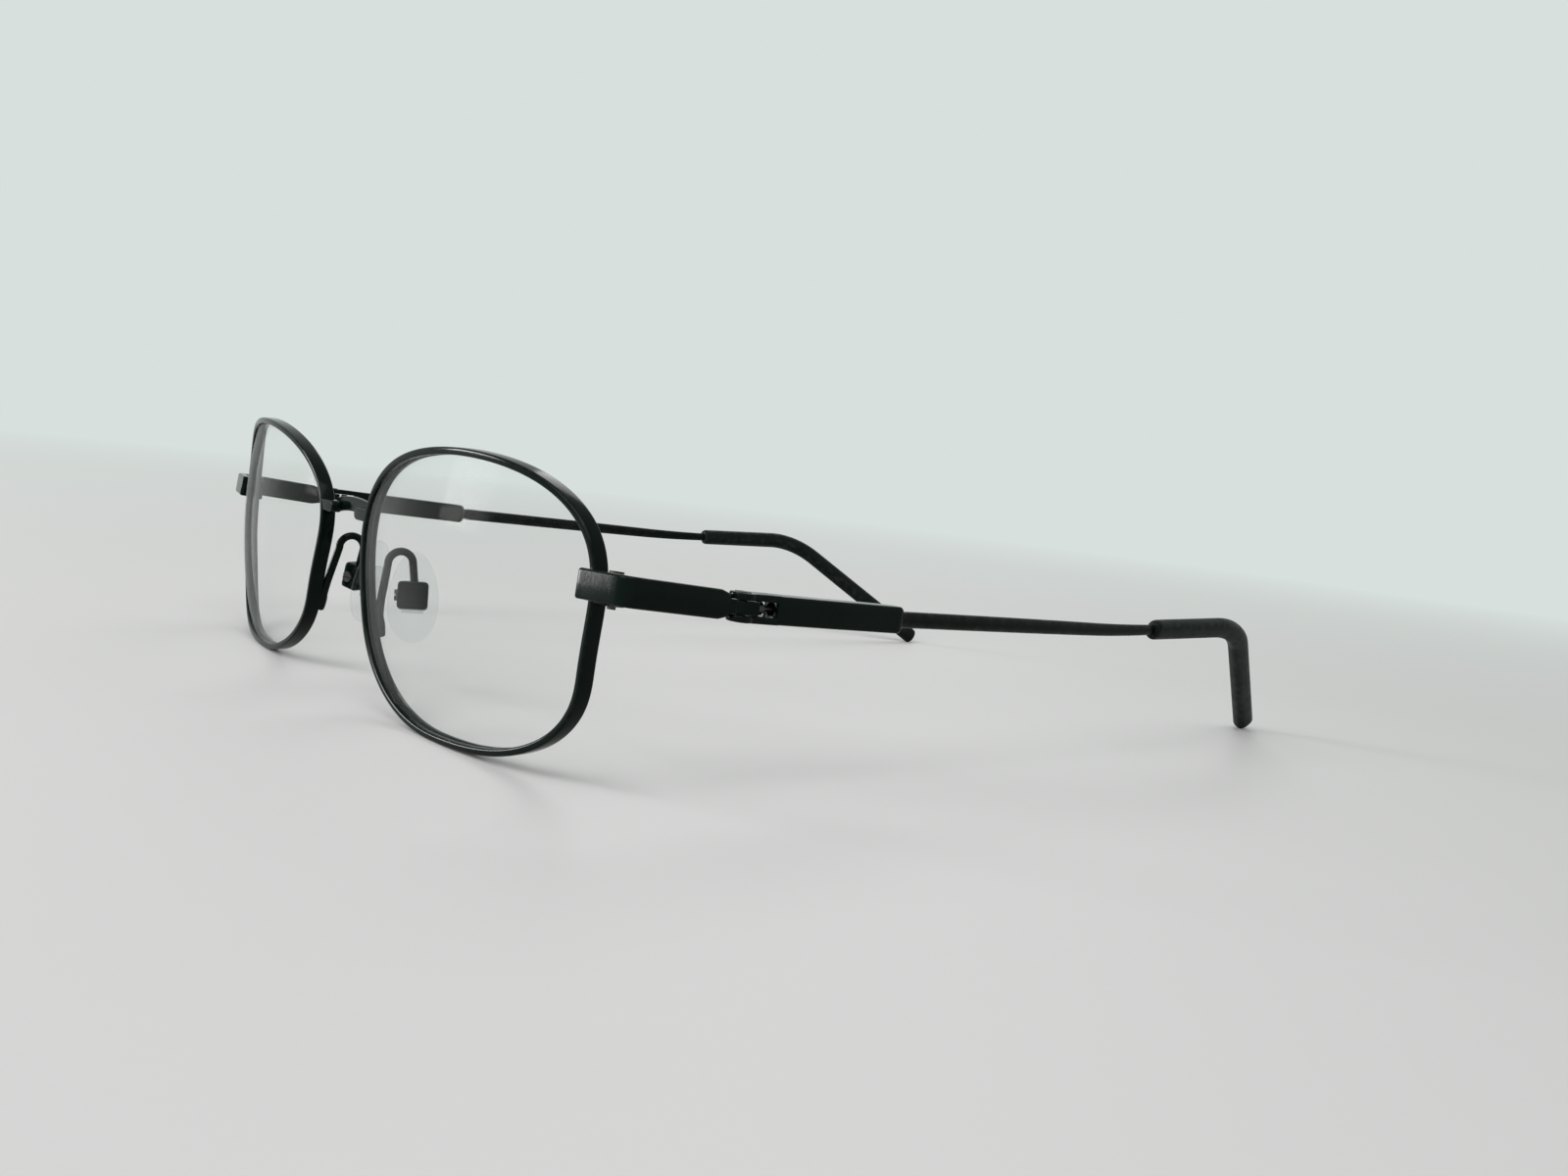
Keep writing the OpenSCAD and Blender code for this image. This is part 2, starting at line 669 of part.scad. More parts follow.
// Spring: a tube wound on a helix, with its ends on the piston and on the bore's end
coil_turns = 9;
coil_ring = 8;
coil_wire = 0.12;
coil_r = 0.6;
coil_from = piston_from + piston_len + coil_wire + 0.02;
coil_to = bore_end - coil_wire - 0.02;
coil_pitch = (coil_to - coil_from) / coil_turns;
coil_slope = atan(coil_pitch / (2 * PI * coil_r));
function coil_point(i) = let (a = 360 * i / coil_ring)
    [coil_r * cos(a), coil_from + coil_pitch * i / coil_ring, coil_r * sin(a)];
function coil_section(i) = let (
    a = 360 * i / coil_ring,
    out = [cos(a), 0, sin(a)],
    up = [sin(a) * sin(coil_slope), cos(coil_slope), -cos(a) * sin(coil_slope)])
    [for (k = [5:-1:0]) coil_point(i) + coil_wire * (cos(60 * k) * out + sin(60 * k) * up)];

module spring() {
    color(steel)
        on_temple()
            skin([for (i = [0:coil_turns * coil_ring]) coil_section(i)]);
}

// Temple wire: a round shank in the box, an oval wire that swells a little, a round core in the tip
wire_sides = 16;
core_r = 0.5;
core_deep = 14;
function wire_ring(s, r_t, r_h) = [for (k = [0:wire_sides - 1])
    [r_t * cos(360 * k / wire_sides), box_len + s, wire_z(max(0, s)) + r_h * sin(360 * k / wire_sides)]];
function wire_full(s) = 1 - 0.25 * pow(s / wire_run, 3);
wire_ovals = concat([0.2], [for (k = [1:5]) (wire_run - rise_last) * k / 5],
    [for (k = [1:5]) wire_run - rise_last + rise_last * k / 6]);

module temple_wire() {
    shank = socket_r - 0.03;
    color(satin)
        on_temple()
            skin(concat(
                [wire_ring(-socket_deep, shank, shank), wire_ring(0, shank, shank)],
                [for (s = concat(wire_ovals, [wire_run - 0.1]))
                    wire_ring(s, wire_full(s) * wire_t / 2, wire_full(s) * wire_h / 2)],
                [for (s = [wire_run - 0.05, wire_run + core_deep]) wire_ring(s, core_r, core_r)]));
}

module temple_tip() {
    color(satin)
        on_tip()
            difference() {
                skin(tip_points);
                rotate([-90, 0, 0])
                    translate([0, 0, -1])
                        cylinder(h = core_deep + 1.2, r = core_r + 0.03);
            }
}

rim();  // left_rim
other_side() rim();  // right_rim
lens();  // left_lens
other_side() lens();  // right_lens
bridge_bar();
bridge_lug();  // left_bridge_lug
other_side() bridge_lug();  // right_bridge_lug
endpiece();  // left_endpiece
other_side() endpiece();  // right_endpiece
lock_upper();  // left_lock_upper
other_side() lock_upper();  // right_lock_upper
lock_lower();  // left_lock_lower
other_side() lock_lower();  // right_lock_lower
lock_screw();  // left_lock_screw
other_side() lock_screw();  // right_lock_screw
pad_arm();  // left_pad_arm
other_side() pad_arm();  // right_pad_arm
pad_box();  // left_pad_box
other_side() pad_box();  // right_pad_box
pad_screw();  // left_pad_screw
other_side() pad_screw();  // right_pad_screw
pad_core();  // left_pad_core
other_side() pad_core();  // right_pad_core
pad();  // left_pad
other_side() pad();  // right_pad
hinge_screw();  // left_hinge_screw
other_side() hinge_screw();  // right_hinge_screw
spring_box();  // left_spring_box
other_side() spring_box();  // right_spring_box
plunger();  // left_plunger
other_side() plunger();  // right_plunger
spring();  // left_spring
other_side() spring();  // right_spring
temple_wire();  // left_temple_wire
other_side() temple_wire();  // right_temple_wire
temple_tip();  // left_temple_tip
other_side() temple_tip();  // right_temple_tip
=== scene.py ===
import bpy
import json
import math
import numpy as np
from mathutils import Matrix


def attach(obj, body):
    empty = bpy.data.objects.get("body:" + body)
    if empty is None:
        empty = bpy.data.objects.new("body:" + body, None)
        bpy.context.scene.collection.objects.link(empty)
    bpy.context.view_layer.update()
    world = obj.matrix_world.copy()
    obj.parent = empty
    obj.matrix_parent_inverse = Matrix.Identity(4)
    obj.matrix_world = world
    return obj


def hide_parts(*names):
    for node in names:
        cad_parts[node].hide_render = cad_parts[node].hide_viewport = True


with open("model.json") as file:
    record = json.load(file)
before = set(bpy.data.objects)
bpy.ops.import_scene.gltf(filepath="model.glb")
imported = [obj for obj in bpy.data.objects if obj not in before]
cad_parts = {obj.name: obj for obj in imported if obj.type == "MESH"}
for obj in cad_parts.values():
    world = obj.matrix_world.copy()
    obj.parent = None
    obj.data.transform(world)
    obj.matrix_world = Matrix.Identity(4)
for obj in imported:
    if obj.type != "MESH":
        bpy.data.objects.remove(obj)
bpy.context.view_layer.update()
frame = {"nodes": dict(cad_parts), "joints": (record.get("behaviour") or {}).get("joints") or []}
print("frame loaded,", len(frame["nodes"]), "nodes")

# Shapes are worked out in millimetres in the frame's own axes and go into the meshes in metres.
stance = {"wrap": 6, "lean": 2.5, "sidePitch": 2.5, "toeIn": 3, "barPitch": 2.1, "barRoll": 2.2}
pinAt = 1000 * np.array(next(j for j in frame["joints"] if j["name"] == "left_fold")["pos_m"])


def turned(axis, degrees, p):
    # Points turned about x (0), y (1) or z (2) by the right-hand rule
    p = np.asarray(p, float)
    a, b = ((1, 2), (2, 0), (0, 1))[axis]
    c, s = math.cos(math.radians(degrees)), math.sin(math.radians(degrees))
    q = p.copy()
    q[..., a] = c * p[..., a] - s * p[..., b]
    q[..., b] = s * p[..., a] + c * p[..., b]
    return q


def frontPlace(p):
    # The leaning front, moved to where the frame has it
    return turned(0, stance["lean"], p) + frontShift()


def lensPlace(p):
    # Out from the middle of the front, and turned back by the wrap
    return frontPlace(turned(2, stance["wrap"], p) + np.array([lensShape["out"], 0, 0]))


def sidePlace(p):
    # The hinge's own place, sloping down to the back from the pin
    return turned(0, -stance["sidePitch"], p) + pinAt


def barPlace(p):
    # The endpiece's bar slopes a little more, and its front rises outwards
    return sidePlace(turned(0, -stance["barPitch"], turned(1, -stance["barRoll"], p)))


def templePlace(p):
    # The open temple, toed in about the pin
    return sidePlace(turned(2, stance["toeIn"], p))


def points(*parts):
    # Coordinate arrays of any matching shapes, stacked as points
    return np.stack(np.broadcast_arrays(*[np.asarray(v, float) for v in parts]), -1)


def roundedBox(wide, high, corner, steps=6):
    # A rectangle with round corners: each quarter arc runs about its own corner's centre.
    # Sizes may be arrays, and then there is one outline for each of their values.
    t = np.linspace(0, math.pi / 2, steps + 1)
    a = np.concatenate([t, t + math.pi / 2, t + math.pi, t + 1.5 * math.pi])
    sx, sy = np.repeat([1, -1, -1, 1], steps + 1), np.repeat([1, 1, -1, -1], steps + 1)
    w, h, r = (np.asarray(v, float)[..., None] for v in (wide, high, corner))
    return points(sx * (w / 2 - r) + r * np.cos(a), sy * (h / 2 - r) + r * np.sin(a))


def boxRub(steps=6):
    # 1 along the middle of each round corner, 0 on the flats: where a finish rubs first
    return np.tile(np.sin(np.linspace(0, math.pi, steps + 1)) ** 2, 4)


def softEnds(length, radius, middle=(), steps=5):
    # Distances along a bar, close together at its ends, and how far its outline draws in there.
    # The draw-in is a quarter circle: radius minus the root of radius squared less distance squared.
    q = radius * (1 - np.cos(np.linspace(0, math.pi / 2, steps + 1)))
    s = np.concatenate([q, np.ravel(middle), length - q[::-1]])
    d = np.clip(radius - np.minimum(s, length - s), 0, radius)
    return s, radius - np.sqrt(radius ** 2 - d ** 2)


def smoothThrough(p, each):
    # A curve through the points p, row by row: half of the cubic whose terms are sums of four neighbours
    p = np.asarray(p, float)
    q = np.concatenate([[2 * p[0] - p[1]], p, [2 * p[-1] - p[-2]]])
    t = np.linspace(0, 1, each, endpoint=False)[None, :, None]
    a, b, c, d = (q[i:len(q) - 3 + i][:, None] for i in range(4))
    square, cube = 2 * a - 5 * b + 4 * c - d, 3 * b - a - 3 * c + d
    curve = 0.5 * (2 * b + (c - a) * t + square * t ** 2 + cube * t ** 3)
    return np.concatenate([curve.reshape(-1, p.shape[1]), p[-1:]])


def reach(angles, polygon):
    # Distance from the centre to a polygon's edge along each angle: the ray and edge lines are crossed
    tiny = 1e-9
    a = np.asarray(polygon, float)
    b = np.roll(a, -1, axis=0)
    u = points(np.cos(angles), np.sin(angles))[:, None]
    e = (b - a)[None]
    cross = u[..., 0] * e[..., 1] - u[..., 1] * e[..., 0]
    cross = np.where(np.abs(cross) < tiny, tiny, cross)
    far = (a[:, 0] * e[..., 1] - a[:, 1] * e[..., 0]) / cross
    along = (a[:, 0] * u[..., 1] - a[:, 1] * u[..., 0]) / cross
    return np.where((far > 0) & (along >= 0) & (along <= 1), far, 0).max(axis=1)


# A skin is a grid of points, rows by columns, closed round its columns. Its first and last rows
# are capped, or joined to each other where it is a loop.
def skinFaces(grid, loop):
    rows, cols = grid.shape[:2]
    i = np.arange(rows if loop else rows - 1)[:, None]
    j = np.arange(cols)[None]
    k, m = (i + 1) % rows, (j + 1) % cols
    quads = np.stack([i * cols + j, i * cols + m, k * cols + m, k * cols + j], -1).reshape(-1, 4)
    caps = [] if loop else [np.arange(cols)[::-1], (rows - 1) * cols + np.arange(cols)]
    p = grid.reshape(-1, 3)
    p = p - p.mean(axis=0)
    fans = [np.stack([np.full(cols - 2, c[0]), c[1:-1], c[2:]], -1) for c in caps]
    tris = np.concatenate([quads[:, :3], quads[:, [0, 2, 3]]] + fans)
    volume = np.einsum("ij,ij->i", p[tris[:, 0]], np.cross(p[tris[:, 1]], p[tris[:, 2]])).sum()
    faces = quads.tolist() + [c.tolist() for c in caps]
    return faces if volume > 0 else [f[::-1] for f in faces]   # outwards, on the mirrored side too


def makePiece(name, skins, body, material, nodes, sharpAt=38):
    # skins: (grid in mm, loop, rub), where rub is how much each column or point is handled
    corners, faces, rubs, start = [], [], [], 0
    for grid, loop, rub in skins:
        corners.append(grid.reshape(-1, 3) * 0.001)
        faces += [[v + start for v in f] for f in skinFaces(grid, loop)]
        rubs.append(np.broadcast_to(rub, grid.shape[:2]).ravel())
        start += grid.shape[0] * grid.shape[1]
    mesh = bpy.data.meshes.new(name)
    mesh.from_pydata(np.concatenate(corners).tolist(), [], faces)
    handled = mesh.attributes.new("rub", "FLOAT", "POINT")
    handled.data.foreach_set("value", np.concatenate(rubs).astype(np.float32))
    mesh.shade_smooth()
    mesh.set_sharp_from_angle(angle=math.radians(sharpAt))
    mesh.materials.append(material)
    piece = bpy.data.objects.new(name, mesh)
    bpy.context.scene.collection.objects.link(piece)
    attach(piece, body)
    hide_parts(*nodes)
    return piece


def makePair(name, skins, body, material, sharpAt=38):
    # The wearer's left piece, and the right one as its mirror image
    made = []
    for side, sign in (("left", 1), ("right", -1)):
        flipped = [(grid * np.array([sign, 1, 1]), loop, rub) for grid, loop, rub in skins]
        rides = body if body == "front" else side + "_" + body
        nodes = [f"{side}_{name}"]
        made.append(makePiece(f"{side}_{name}_fine", flipped, rides, material, nodes, sharpAt))
    count = sum(grid.shape[0] * grid.shape[1] for grid, _, _ in skins)
    print("made left and right", name.replace("_", " ") + ",", count, "points each")
    return made


# Shader sums are written as Python sums on wires
class Wire:
    def __init__(self, bench, socket):
        self.bench = bench
        self.socket = socket

    def step(self, kind, first, second):
        return self.bench.node("Math", {"operation": kind}, {0: first, 1: second})

    def __add__(self, other): return self.step("ADD", self, other)
    def __radd__(self, other): return self.step("ADD", other, self)
    def __sub__(self, other): return self.step("SUBTRACT", self, other)
    def __rsub__(self, other): return self.step("SUBTRACT", other, self)
    def __mul__(self, other): return self.step("MULTIPLY", self, other)
    def __rmul__(self, other): return self.step("MULTIPLY", other, self)
    def __pow__(self, other): return self.step("POWER", self, other)
    def __rpow__(self, other): return self.step("POWER", other, self)

    def within(self, low, high):
        # 0 at low, 1 at high, held at both ends
        return self.bench.node("MapRange", {"clamp": True}, {0: self, 1: low, 2: high, 3: 0.0, 4: 1.0})


class Bench:
    # The nodes of one material or world. node() adds any node: its type, its settings, then the
    # values or wires of its sockets.
    def __init__(self, owner):
        owner.use_nodes = True
        self.owner = owner
        self.tree = owner.node_tree
        self.tree.nodes.clear()

    def node(self, kind, settings=None, values=None, out=0):
        made = self.tree.nodes.new("ShaderNode" + kind)
        for key, value in (settings or {}).items():
            setattr(made, key, value)
        for key, value in (values or {}).items():
            if isinstance(value, Wire):
                self.tree.links.new(value.socket, made.inputs[key])
            else:
                made.inputs[key].default_value = value
        return Wire(self, made.outputs[out]) if made.outputs else made

    def place(self, scale=(1, 1, 1)):
        spot = self.node("TexCoord", {}, {}, "Object")
        return self.node("Mapping", {}, {"Vector": spot, "Scale": scale})

    def noise(self, scale, detail=2.0, rough=0.5, stretch=(1, 1, 1)):
        return self.node("TexNoise", {}, {"Vector": self.place(stretch), "Scale": scale,
                                          "Detail": detail, "Roughness": rough})

    def rub(self):
        return self.node("Attribute", {"attribute_name": "rub"}, {}, "Fac")

    def blend(self, share, first, second):
        # Colours mixed: first where share is 0, second where it is 1
        return self.node("Mix", {"data_type": "RGBA"}, {0: share, 6: first, 7: second}, 2)

    def bump(self, height, depth):
        return self.node("Bump", {}, {"Height": height, "Distance": depth, "Strength": 1.0})

    def finish(self, shader, end="OutputMaterial"):
        self.node(end, {}, {"Surface": shader})
        return self.owner


def newFinish(name):
    return Bench(bpy.data.materials.new(name))


def grey(v, tint=(1, 1, 1)):
    return (v * tint[0], v * tint[1], v * tint[2], 1)


# Gloss black enamel: dipped paint with a faint ripple, a cloudier gloss in places, and paler, duller corners
paintGloss = {"IOR": 1.48, "Specular IOR Level": 0.08}
enamelLook = {"black": grey(0.003, (0.4, 1.5, 1.05)), "cloudy": grey(0.0045, (0.5, 1.4, 1.05)),
              "worn": grey(0.04, (1, 1, 0.97)), "wear": 0.35, "gloss": 0.1, "cloudGloss": 0.07,
              "wornGloss": 0.3, "cloudScale": 260, "wearScale": 900, "rippleScale": 2600,
              "fineScale": 9000, "fineShare": 0.25, "ripple": 0.0000035}


def enamelFinish():
    b, look = newFinish("black enamel"), enamelLook
    clouds = b.noise(look["cloudScale"], 3.0, 0.6).within(0.35, 0.68)
    patches = b.noise(look["wearScale"], 4.0, 0.65).within(0.5, 0.72)
    worn = b.rub() * patches * look["wear"]
    peel = b.noise(look["rippleScale"], 2.0, 0.5) + b.noise(look["fineScale"], 1.0, 0.5) * look["fineShare"]
    colour = b.blend(worn, b.blend(clouds, look["black"], look["cloudy"]), look["worn"])
    return b.finish(b.node("BsdfPrincipled", {}, paintGloss | {
        "Base Color": colour,
        "Roughness": clouds * look["cloudGloss"] + look["gloss"] + worn * look["wornGloss"],
        "Normal": b.bump(peel, look["ripple"])}))


# Satin black: the wires' thin matt enamel and the tips' sleeves, the tips a little paler and duller
satinLook = {"wire": {"deep": grey(0.002, (0.5, 1.4, 1.0)), "pale": grey(0.0035, (0.6, 1.3, 1.0)),
                      "rough": 0.24, "grain": 7000, "depth": 0.000004},
             "tip": {"deep": grey(0.0035, (0.6, 1.4, 1.05)), "pale": grey(0.006, (0.7, 1.3, 1.05)),
                     "rough": 0.38, "grain": 4200, "depth": 0.000009}}
satinWear = {"cloudScale": 330, "rubScale": 700, "rubbed": grey(0.06), "rubShare": 0.5,
             "cloudShare": 0.7, "gritShare": 0.3, "cloudGloss": 0.12, "rubGloss": 0.1}


def satinFinish(name):
    b, look, wear = newFinish("satin black " + name), satinLook[name], satinWear
    clouds = b.noise(wear["cloudScale"], 3.0, 0.6).within(0.3, 0.7)
    grit = b.noise(look["grain"], 3.0, 0.6)
    handled = b.rub() * b.noise(wear["rubScale"], 3.0, 0.6).within(0.45, 0.75)
    mottle = clouds * wear["cloudShare"] + grit.within(0.55, 0.75) * wear["gritShare"]
    colour = b.blend(handled * wear["rubShare"], b.blend(mottle, look["deep"], look["pale"]), wear["rubbed"])
    return b.finish(b.node("BsdfPrincipled", {}, paintGloss | {
        "Base Color": colour,
        "Roughness": clouds * wear["cloudGloss"] + look["rough"] - handled * wear["rubGloss"],
        "Normal": b.bump(grit, look["depth"])}))


# Turned steel: screw heads, plungers and the springs' wire, with fine tool lines and darker specks
steelLook = {"bright": grey(0.07, (1, 0.99, 0.98)), "dark": grey(0.025, (1, 0.97, 0.93)), "rough": 0.36,
             "lineGloss": 0.16, "lineShare": 0.3, "lineDepth": 0.000004, "speckScale": 5200,
             "speckShare": 0.6}


def steelFinish(name, stretch, grain):
    b, look = newFinish(name), steelLook
    lines = b.noise(grain, 3.0, 0.55, stretch)
    specks = b.noise(look["speckScale"], 2.0, 0.6).within(0.56, 0.7)
    dirt = specks * look["speckShare"] + lines.within(0.3, 0.8) * look["lineShare"]
    colour = b.blend(dirt, look["bright"], look["dark"])
    return b.finish(b.node("BsdfPrincipled", {}, {
        "Base Color": colour, "Metallic": 1.0, "Roughness": lines * look["lineGloss"] + look["rough"],
        "Normal": b.bump(lines, look["lineDepth"])}))


# Clear pieces let the light straight through and add a surface gloss, stronger towards their edges
clearLook = {"clear lens": {"body": 0.0, "tint": grey(0.985, (0.995, 1, 0.998)),
                            "shine": grey(0.3, (0.93, 1, 0.97)), "dull": 0.01, "ior": 1.5,
                            "grain": 90, "depth": 0.0000008},
             "clear silicone": {"body": 0.01, "tint": grey(0.965, (0.99, 1, 1)),
                                "shine": grey(0.62, (0.97, 1, 1)), "dull": 0.2, "ior": 1.42,
                                "grain": 1500, "depth": 0.00002},
             "clear moulded core": {"body": 0.06, "tint": grey(0.93, (0.98, 1, 1)),
                                    "shine": grey(0.5, (0.97, 1, 1)), "dull": 0.18, "ior": 1.5,
                                    "grain": 2200, "depth": 0.00001}}
clearFilm = {"haze": grey(0.5), "hazeGloss": 0.06, "edgePower": 5.0, "edgeShare": 0.4, "least": 0.004,
             "streaks": 0.004}


def clearFinish(name):
    b, look, film = newFinish(name), clearLook[name], clearFilm
    smear = b.noise(look["grain"], 3.0, 0.6)
    # Least seen face on, and more towards a grazing view
    glance = b.node("LayerWeight", {}, {"Blend": 0.5}, "Facing") ** film["edgePower"]
    through = b.node("BsdfTransparent", {}, {"Color": look["tint"]})
    skin = b.node("BsdfPrincipled", {}, {
        "Base Color": b.blend(smear.within(0.35, 0.7), look["shine"], film["haze"]),
        "Roughness": smear * film["hazeGloss"] + look["dull"],
        "IOR": look["ior"], "Normal": b.bump(smear, look["depth"])})
    seen = (glance * film["edgeShare"] + (film["least"] + look["body"])
            + smear.within(0.6, 0.8) * film["streaks"])
    return b.finish(b.node("MixShader", {}, {0: seen, 1: through, 2: skin}))


blackEnamel = enamelFinish()
satinWire = satinFinish("wire")
satinTip = satinFinish("tip")
turnedSteel = steelFinish("turned steel", (1, 1, 7), 2600)
springWire = steelFinish("drawn spring wire", (6, 1, 6), 3400)
clearLens, clearSilicone, clearCore = (clearFinish(name) for name in clearLook)
print("finishes made")

# Lens outline: a superellipse, squarer over the brow, that narrows downwards on both sides
lensShape = {"wide": 52, "high": 35, "out": 35, "topSquare": 4.4, "bottomSquare": 2.2, "nasalTaper": 0.20,
             "templeTaper": 0.09, "browLift": 0.025, "browSag": 0.25, "baseRadius": 80, "thick": 1.2}


def ease(s):
    # From near 0 at s = -1 to near 1 at s = 1: half plus 2 s over the root of 1 plus 16 s squared
    return 0.5 + 2 * s / np.sqrt(1 + 16 * s * s)


def roughOutline(a):
    # Radius (|cos|^n + |sin|^n)^(-1/n), with n and the taper easing from one half to the other
    c, s = np.cos(np.radians(a)), np.sin(np.radians(a))
    n = lensShape["bottomSquare"] + (lensShape["topSquare"] - lensShape["bottomSquare"]) * ease(s)
    r = (np.abs(c) ** n + np.abs(s) ** n) ** (-1 / n)
    taper = lensShape["nasalTaper"] + (lensShape["templeTaper"] - lensShape["nasalTaper"]) * ease(c)
    x, z = r * c * (1 + taper * r * s), r * s
    return points(x, z + lensShape["browLift"] * x - lensShape["browSag"] * x * x)


roughAll = roughOutline(np.arange(360.0))
roughLow, roughHigh = roughAll.min(axis=0), roughAll.max(axis=0)


def outline(a):
    # The rough outline, centred and scaled to the lens size
    size = np.array([lensShape["wide"], lensShape["high"]])
    return (roughOutline(a) - (roughLow + roughHigh) / 2) * size / (roughHigh - roughLow)


def edge(a, off):
    # The outline moved outwards by off, along its normal
    d = outline(a + 1) - outline(a - 1)
    n = points(d[..., 1], -d[..., 0]) / np.linalg.norm(d, axis=-1, keepdims=True)
    return outline(a) + np.asarray(off, float)[..., None] * n


def sag(p):
    # Depth of the lens sphere: its radius less the root of radius squared less distance squared
    return lensShape["baseRadius"] - np.sqrt(lensShape["baseRadius"] ** 2 - (p ** 2).sum(axis=-1))


def rimPoint(a, off, back):
    # Off the outline by off, and behind the lens sphere at the outline by back
    a = np.asarray(a, float)
    e = edge(a, off)
    return points(e[..., 0], sag(outline(a)) + back, e[..., 1])


# Rim: a rounded wire with a groove inside, carried round the outline from one side of the lock slit
# to the other. The endpiece's sizes stand here too, because the front's place follows from them.
rimShape = {"wall": 0.95, "depth": 2.1, "corner": 0.3, "cornerPoints": 7, "groove": 0.5, "grooveHalf": 0.42,
            "lockAngle": 28.5, "slit": 0.3, "stations": 400}
endpiece = {"out": 4.7, "back": 16, "startIn": -1.5, "startGap": 0.08, "rake": 9.8, "splay": 5.6,
            "cornerRadius": 1.3, "high": 3.45, "thick": 1.4, "neck": 1.9, "neckSunk": 0.4, "endSlope": 1.6,
            "endDrop": 0.45, "edge": 0.34, "endRound": 0.35, "bore": 0.63,
            "tongueHigh": 1.6, "tongueRadius": 1.5, "tongueEdge": 0.15,
            "cam": [(0, 0), (1.5, 0), (1.6, 1.45), (1.15, 1.85), (0, 1.5)]}


def rimSkin():
    # The section is four quarter arcs about the wire's corners, then the three points of the groove
    r, w, d = rimShape["corner"], rimShape["wall"], rimShape["depth"] / 2
    t = np.linspace(0, math.pi / 2, rimShape["cornerPoints"])
    arcs = [(r, -d + r, math.pi), (w - r, -d + r, 1.5 * math.pi), (w - r, d - r, 0), (r, d - r, math.pi / 2)]
    groove = np.array([[0, rimShape["grooveHalf"]], [rimShape["groove"], 0], [0, -rimShape["grooveHalf"]]])
    corners = [points(x + r * np.cos(t + a), y + r * np.sin(t + a)) for x, y, a in arcs]
    section = np.concatenate(corners + [groove])
    rub = np.concatenate([np.tile(np.sin(2 * t) ** 2, 4), np.zeros(len(groove))])
    half = math.degrees(rimShape["slit"] / lensShape["wide"])
    first, last = rimShape["lockAngle"] + half, rimShape["lockAngle"] + 360 - half
    a = np.linspace(first, last, rimShape["stations"])[:, None]
    return lensPlace(rimPoint(a, section[None, :, 0], section[None, :, 1])), False, rub


def rimAt(a, off, back):
    # A point on the rim in the front's own upright place, before it leans
    return turned(2, stance["wrap"], rimPoint(a, off, back)) + np.array([lensShape["out"], 0, 0])


def frontShift():
    # The hinge pin lies out, back and down from the rim at its lock, and the frame says where the pin is
    down = (endpiece["back"] * math.sin(math.radians(stance["barPitch"]))
            - endpiece["out"] * math.sin(math.radians(stance["barRoll"])))
    toPin = turned(0, -stance["sidePitch"], [endpiece["out"], endpiece["back"], -down])
    return pinAt - turned(0, stance["lean"], rimAt(rimShape["lockAngle"], rimShape["wall"], 0)) - toPin


makePair("rim", [rimSkin()], "front", blackEnamel)

# Lens: front and back follow the same sphere, and the edge has a bevel in the rim's groove
lensEdge = {"gap": 0.05, "bevelHalf": 0.37, "bevel": 0.425, "middle": 0.002, "rows": 16, "stations": 240}


def lensSkin():
    # Rows run from the middle of the front out to the edge, over the bevel, and in again on the back.
    # Each is the outline at a share of its size, with the sphere's depth there.
    h = lensShape["thick"] / 2
    share = np.sin(np.linspace(lensEdge["middle"], math.pi / 2, lensEdge["rows"]))
    b, g = lensEdge["bevelHalf"], lensEdge["gap"]
    size = np.concatenate([share, np.ones(3), share[::-1]])
    off = np.concatenate([-g * share, [-g, lensEdge["bevel"], -g], -g * share[::-1]])
    back = np.concatenate([np.full(len(share), -h), [-b, 0, b], np.full(len(share), h)])
    a = np.linspace(0, 360, lensEdge["stations"], endpoint=False)[None, :]
    e = edge(a, off[:, None]) * size[:, None, None]
    y = np.where(size[:, None] < 0.9999, sag(e), sag(outline(a)))
    return lensPlace(points(e[..., 0], y + back[:, None], e[..., 1])), False, 0.0


makePair("lens", [lensSkin()], "front", clearLens, 30)

# Bridge: a lug on each rim, and an arched bar across their backs
bridge = {"angle": 143, "lugLong": 3.9, "lugHigh": 1.7, "lugFront": -0.9, "lugBack": 0.6, "lugEdge": 0.2,
          "lugPast": 0.9, "lugSunk": 0.3, "lugSteps": 8, "rise": 0.6, "barHigh": 2.1, "barThick": 0.9,
          "barIn": 1.6, "barUp": 1.25, "barEdge": 0.25, "barCorner": 0.3, "barRows": 40}
lugAt = rimAt(bridge["angle"], rimShape["wall"], 0)


def lugSkin():
    # A box with round ends, carried from front to back. Its outer end goes past the rim's outer face
    # and is cut off square inside the rim's wall, short of its groove.
    s, draw = softEnds(bridge["lugBack"] - bridge["lugFront"], bridge["lugEdge"])
    long, high = bridge["lugLong"] + bridge["lugPast"], bridge["lugHigh"]
    o = roundedBox(long - 2 * draw, high - 2 * draw, high / 2 - 0.01 - draw, bridge["lugSteps"])
    x = np.minimum(o[..., 0] + bridge["lugPast"] - long / 2, bridge["lugSunk"])
    lug = lugAt + points(x, (bridge["lugFront"] + s)[:, None], o[..., 1])
    return frontPlace(lug), False, boxRub(bridge["lugSteps"]) * 0.4


